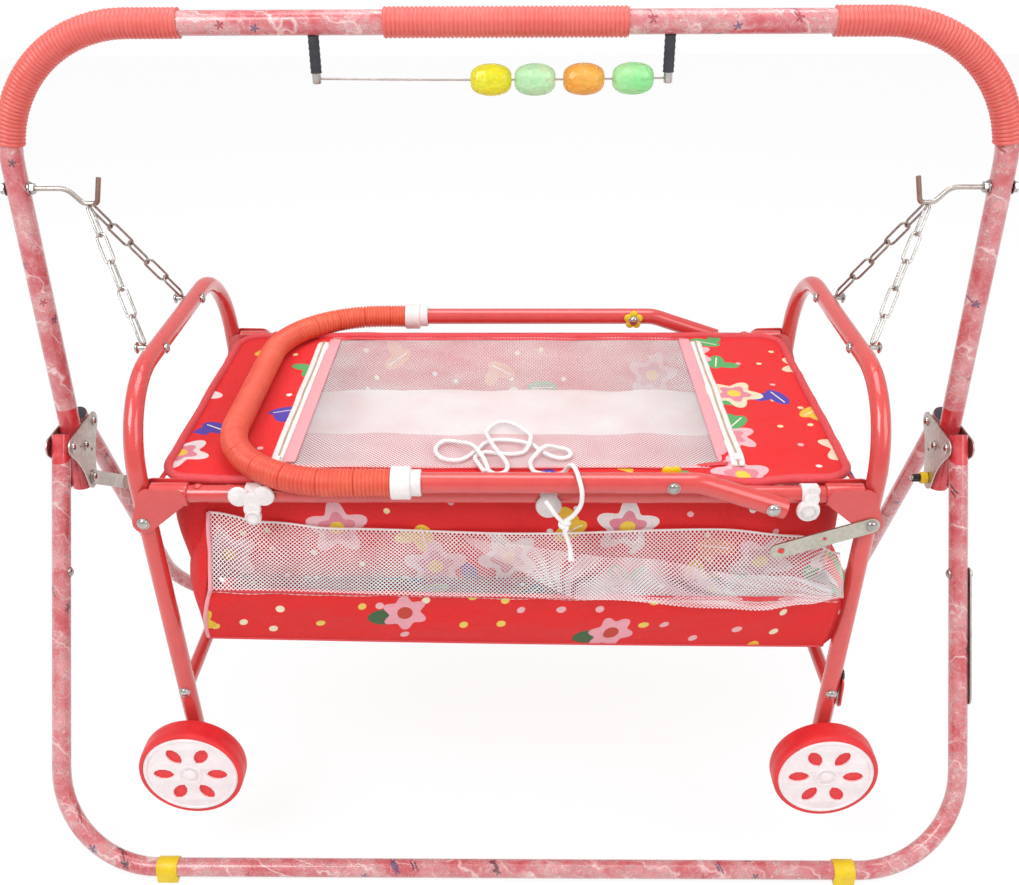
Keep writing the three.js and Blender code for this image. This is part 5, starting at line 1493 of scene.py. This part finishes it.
def make_store():
    front = sheet_piece("pocket_band", (80, 14), pocket_front, "band", stands_for=["storage_basket"])
    sheet_piece("store_floor", (60, 24), store_floor, "cover")
    sheet_piece("store_back", (60, 8), store_rear, "side_cloth")
    sheet_piece("store_end_panel", (30, 12), store_right_end, "side_cloth")
    sheet_piece("store_left_gusset", (12, 14), store_left_end, "side_cloth")
    edge = [store_left_end(1, v) for v in between(0, 1, 20)]
    tube("left_gusset_binding", edge, 0.0022, "piping")


def make_bindings():
    upright = Vector((0, 0.1, 1))
    low = [pocket_front(u, 1.0) + Vector((0, -0.001, 0.0015)) for u in between(0, 1, 60)]
    ribbon("pocket_low_binding", low, 0.0075, 0.0012, "piping", upright)
    high = [pocket_front(u, 0.0) + Vector((0, -0.0012, -0.002)) for u in between(0, 1, 60)]
    ribbon("pocket_hem", high, 0.005, 0.0009, "piping", upright)
    stitches = [pocket_front(u, 0.07) + Vector((0, -0.0016, 0)) for u in between(0, 1, 176)]
    shares = [1.0 if k % 2 else 0.2 for k in range(len(stitches))]
    tube("hem_stitches", stitches, 0.0005, "tape", shares=shares, rounds=0)
    down = between(0, 1, 8)
    left = [net_place(0, v) for v in down] + [pocket_front(0, v) for v in down[1:]]
    # This binding takes the pale pink border cloth, lighter than the red piping, for the light along it:
    # painted highlight
    tube("left_edge_binding", smooth_line(left, 3), 0.0024, "pink_edge")


net_top_edge = [(0, 0.4745), (0.09, 0.462), (0.2, 0.4535), (0.5, 0.4475), (0.8, 0.4535)]
net_top_edge += [(0.93, 0.445), (1, 0.422)]
net_low_edge = [(0, 0.3965), (0.45, 0.3885), (0.62, 0.3845), (0.8, 0.3735), (0.87, 0.3705)]
net_low_edge += [(0.94, 0.379), (1, 0.388)]


def net_place(u, v):
    """A point on the pocket's net: it leaves the basket's side and sags outward to the band's hem."""
    x = store_x(u) + 0.004 * u
    top, low = through(net_top_edge, u), through(net_low_edge, u)
    inside = math.sin(math.pi * v)
    wave = 0.0042 * math.sin(full_turn * 6 * u + 1.8 * math.sin(5 * u) + 1.5 * v) * inside
    y = -0.1995 - 0.035 * v**0.8 + wave + ripple((x, v * 0.1, 0), 0.035, 0.004) * inside
    return Vector((x, max(y, net_limit), top + (low - top) * v))


def net_fold(u, v):
    """A point on the net's second layer, which hangs in front of the first at the right."""
    upper = 0.03 + 0.6 * u**0.8
    lower = upper + (0.985 - upper) * min(1.0, 3.2 * u + 0.02)
    at = net_place(0.4 + 0.58 * u, upper + (lower - upper) * v)
    return at + Vector((0, -0.0014 - 0.002 * math.sin(math.pi * v), 0))


def make_pocket_net():
    finish = "pocket_net"
    more = {"flat": (0.7, 0.085), "stands_for": ["pocket_net"]}
    net = sheet_piece("pocket_netting", (110, 18), net_place, finish, 0, **more)
    fold = sheet_piece("pocket_net_fold", (70, 12), net_fold, finish, 0, flat=(0.4, 0.055))
    top = [net_place(u, 0.0) for u in between(0, 1, 80)]
    tube("net_top_binding", top, 0.0012, "tape", rounds=2)


# Room


def seen_by(g, *rays):
    """One for the rays of any of these kinds, and nought for the others."""
    path = g.add("LightPath").node
    seen = path.outputs[rays[0]]
    for ray in rays[1:]:
        seen = g.math("MAXIMUM", seen, path.outputs[ray])
    return seen


def make_floor():
    bm = bmesh.new()
    bmesh.ops.create_grid(bm, x_segments=1, y_segments=1, size=6.0)
    mesh = bpy.data.meshes.new("floor")
    bm.to_mesh(mesh)
    bm.free()
    floor = bpy.data.objects.new("floor", mesh)
    scene.collection.objects.link(floor)
    finish = bpy.data.materials.new("floor")
    finish.use_nodes = True
    g = Graph(finish.node_tree)
    shader = g.tree.nodes["Principled BSDF"]
    shader.inputs["Base Color"].default_value = (0.86, 0.86, 0.86, 1)
    shader.inputs["Roughness"].default_value = 0.9
    seen = seen_by(g, "Is Camera Ray", "Is Glossy Ray", "Is Transmission Ray")
    glow = g.add("Emission", {"Color": (1, 1, 1, 1), "Strength": 1.07})
    both = g.add("MixShader", {0: g.times(seen, 0.82), 1: shader.outputs[0], 2: glow})
    g.tree.links.new(both, g.tree.nodes["Material Output"].inputs["Surface"])
    mesh.materials.append(finish)


def make_light():
    world = bpy.data.worlds.new("studio")
    scene.world = world
    world.use_nodes = True
    g = Graph(world.node_tree)
    back = world.node_tree.nodes["Background"]
    seen = seen_by(g, "Is Camera Ray", "Is Transmission Ray")
    g.tree.links.new(g.plus(0.6, g.times(seen, 0.4)), back.inputs["Strength"])
    back.inputs["Color"].default_value = (1, 1, 1, 1)
    middle = Vector((0, 0, 0.45))
    for name, at, size, power in (
        ("key", (-1.3, -1.5, 2.5), 1.3, 36.0),
        ("fill", (1.8, -1.4, 1.9), 1.5, 18.0),
        ("top", (0.1, 0.3, 2.7), 1.4, 22.0),
    ):
        data = bpy.data.lights.new(name, "AREA")
        data.size = size
        data.energy = power
        lamp = bpy.data.objects.new(name, data)
        lamp.location = at
        lamp.rotation_euler = (middle - Vector(at)).to_track_quat("-Z", "Y").to_euler()
        scene.collection.objects.link(lamp)


make_arch()
make_legs()
make_plates()
make_lock()
make_straps()
make_hooks()
make_toy_bar()
make_hoops()
channel_bracket()
make_rails()
make_chains()
make_wheels()
make_handle()
make_lock_strap()
make_clips()
make_basket()
make_mattress()
make_cover()
make_cover_flaps()
make_window()
make_store()
make_bindings()
make_pocket_net()
make_floor()
make_light()
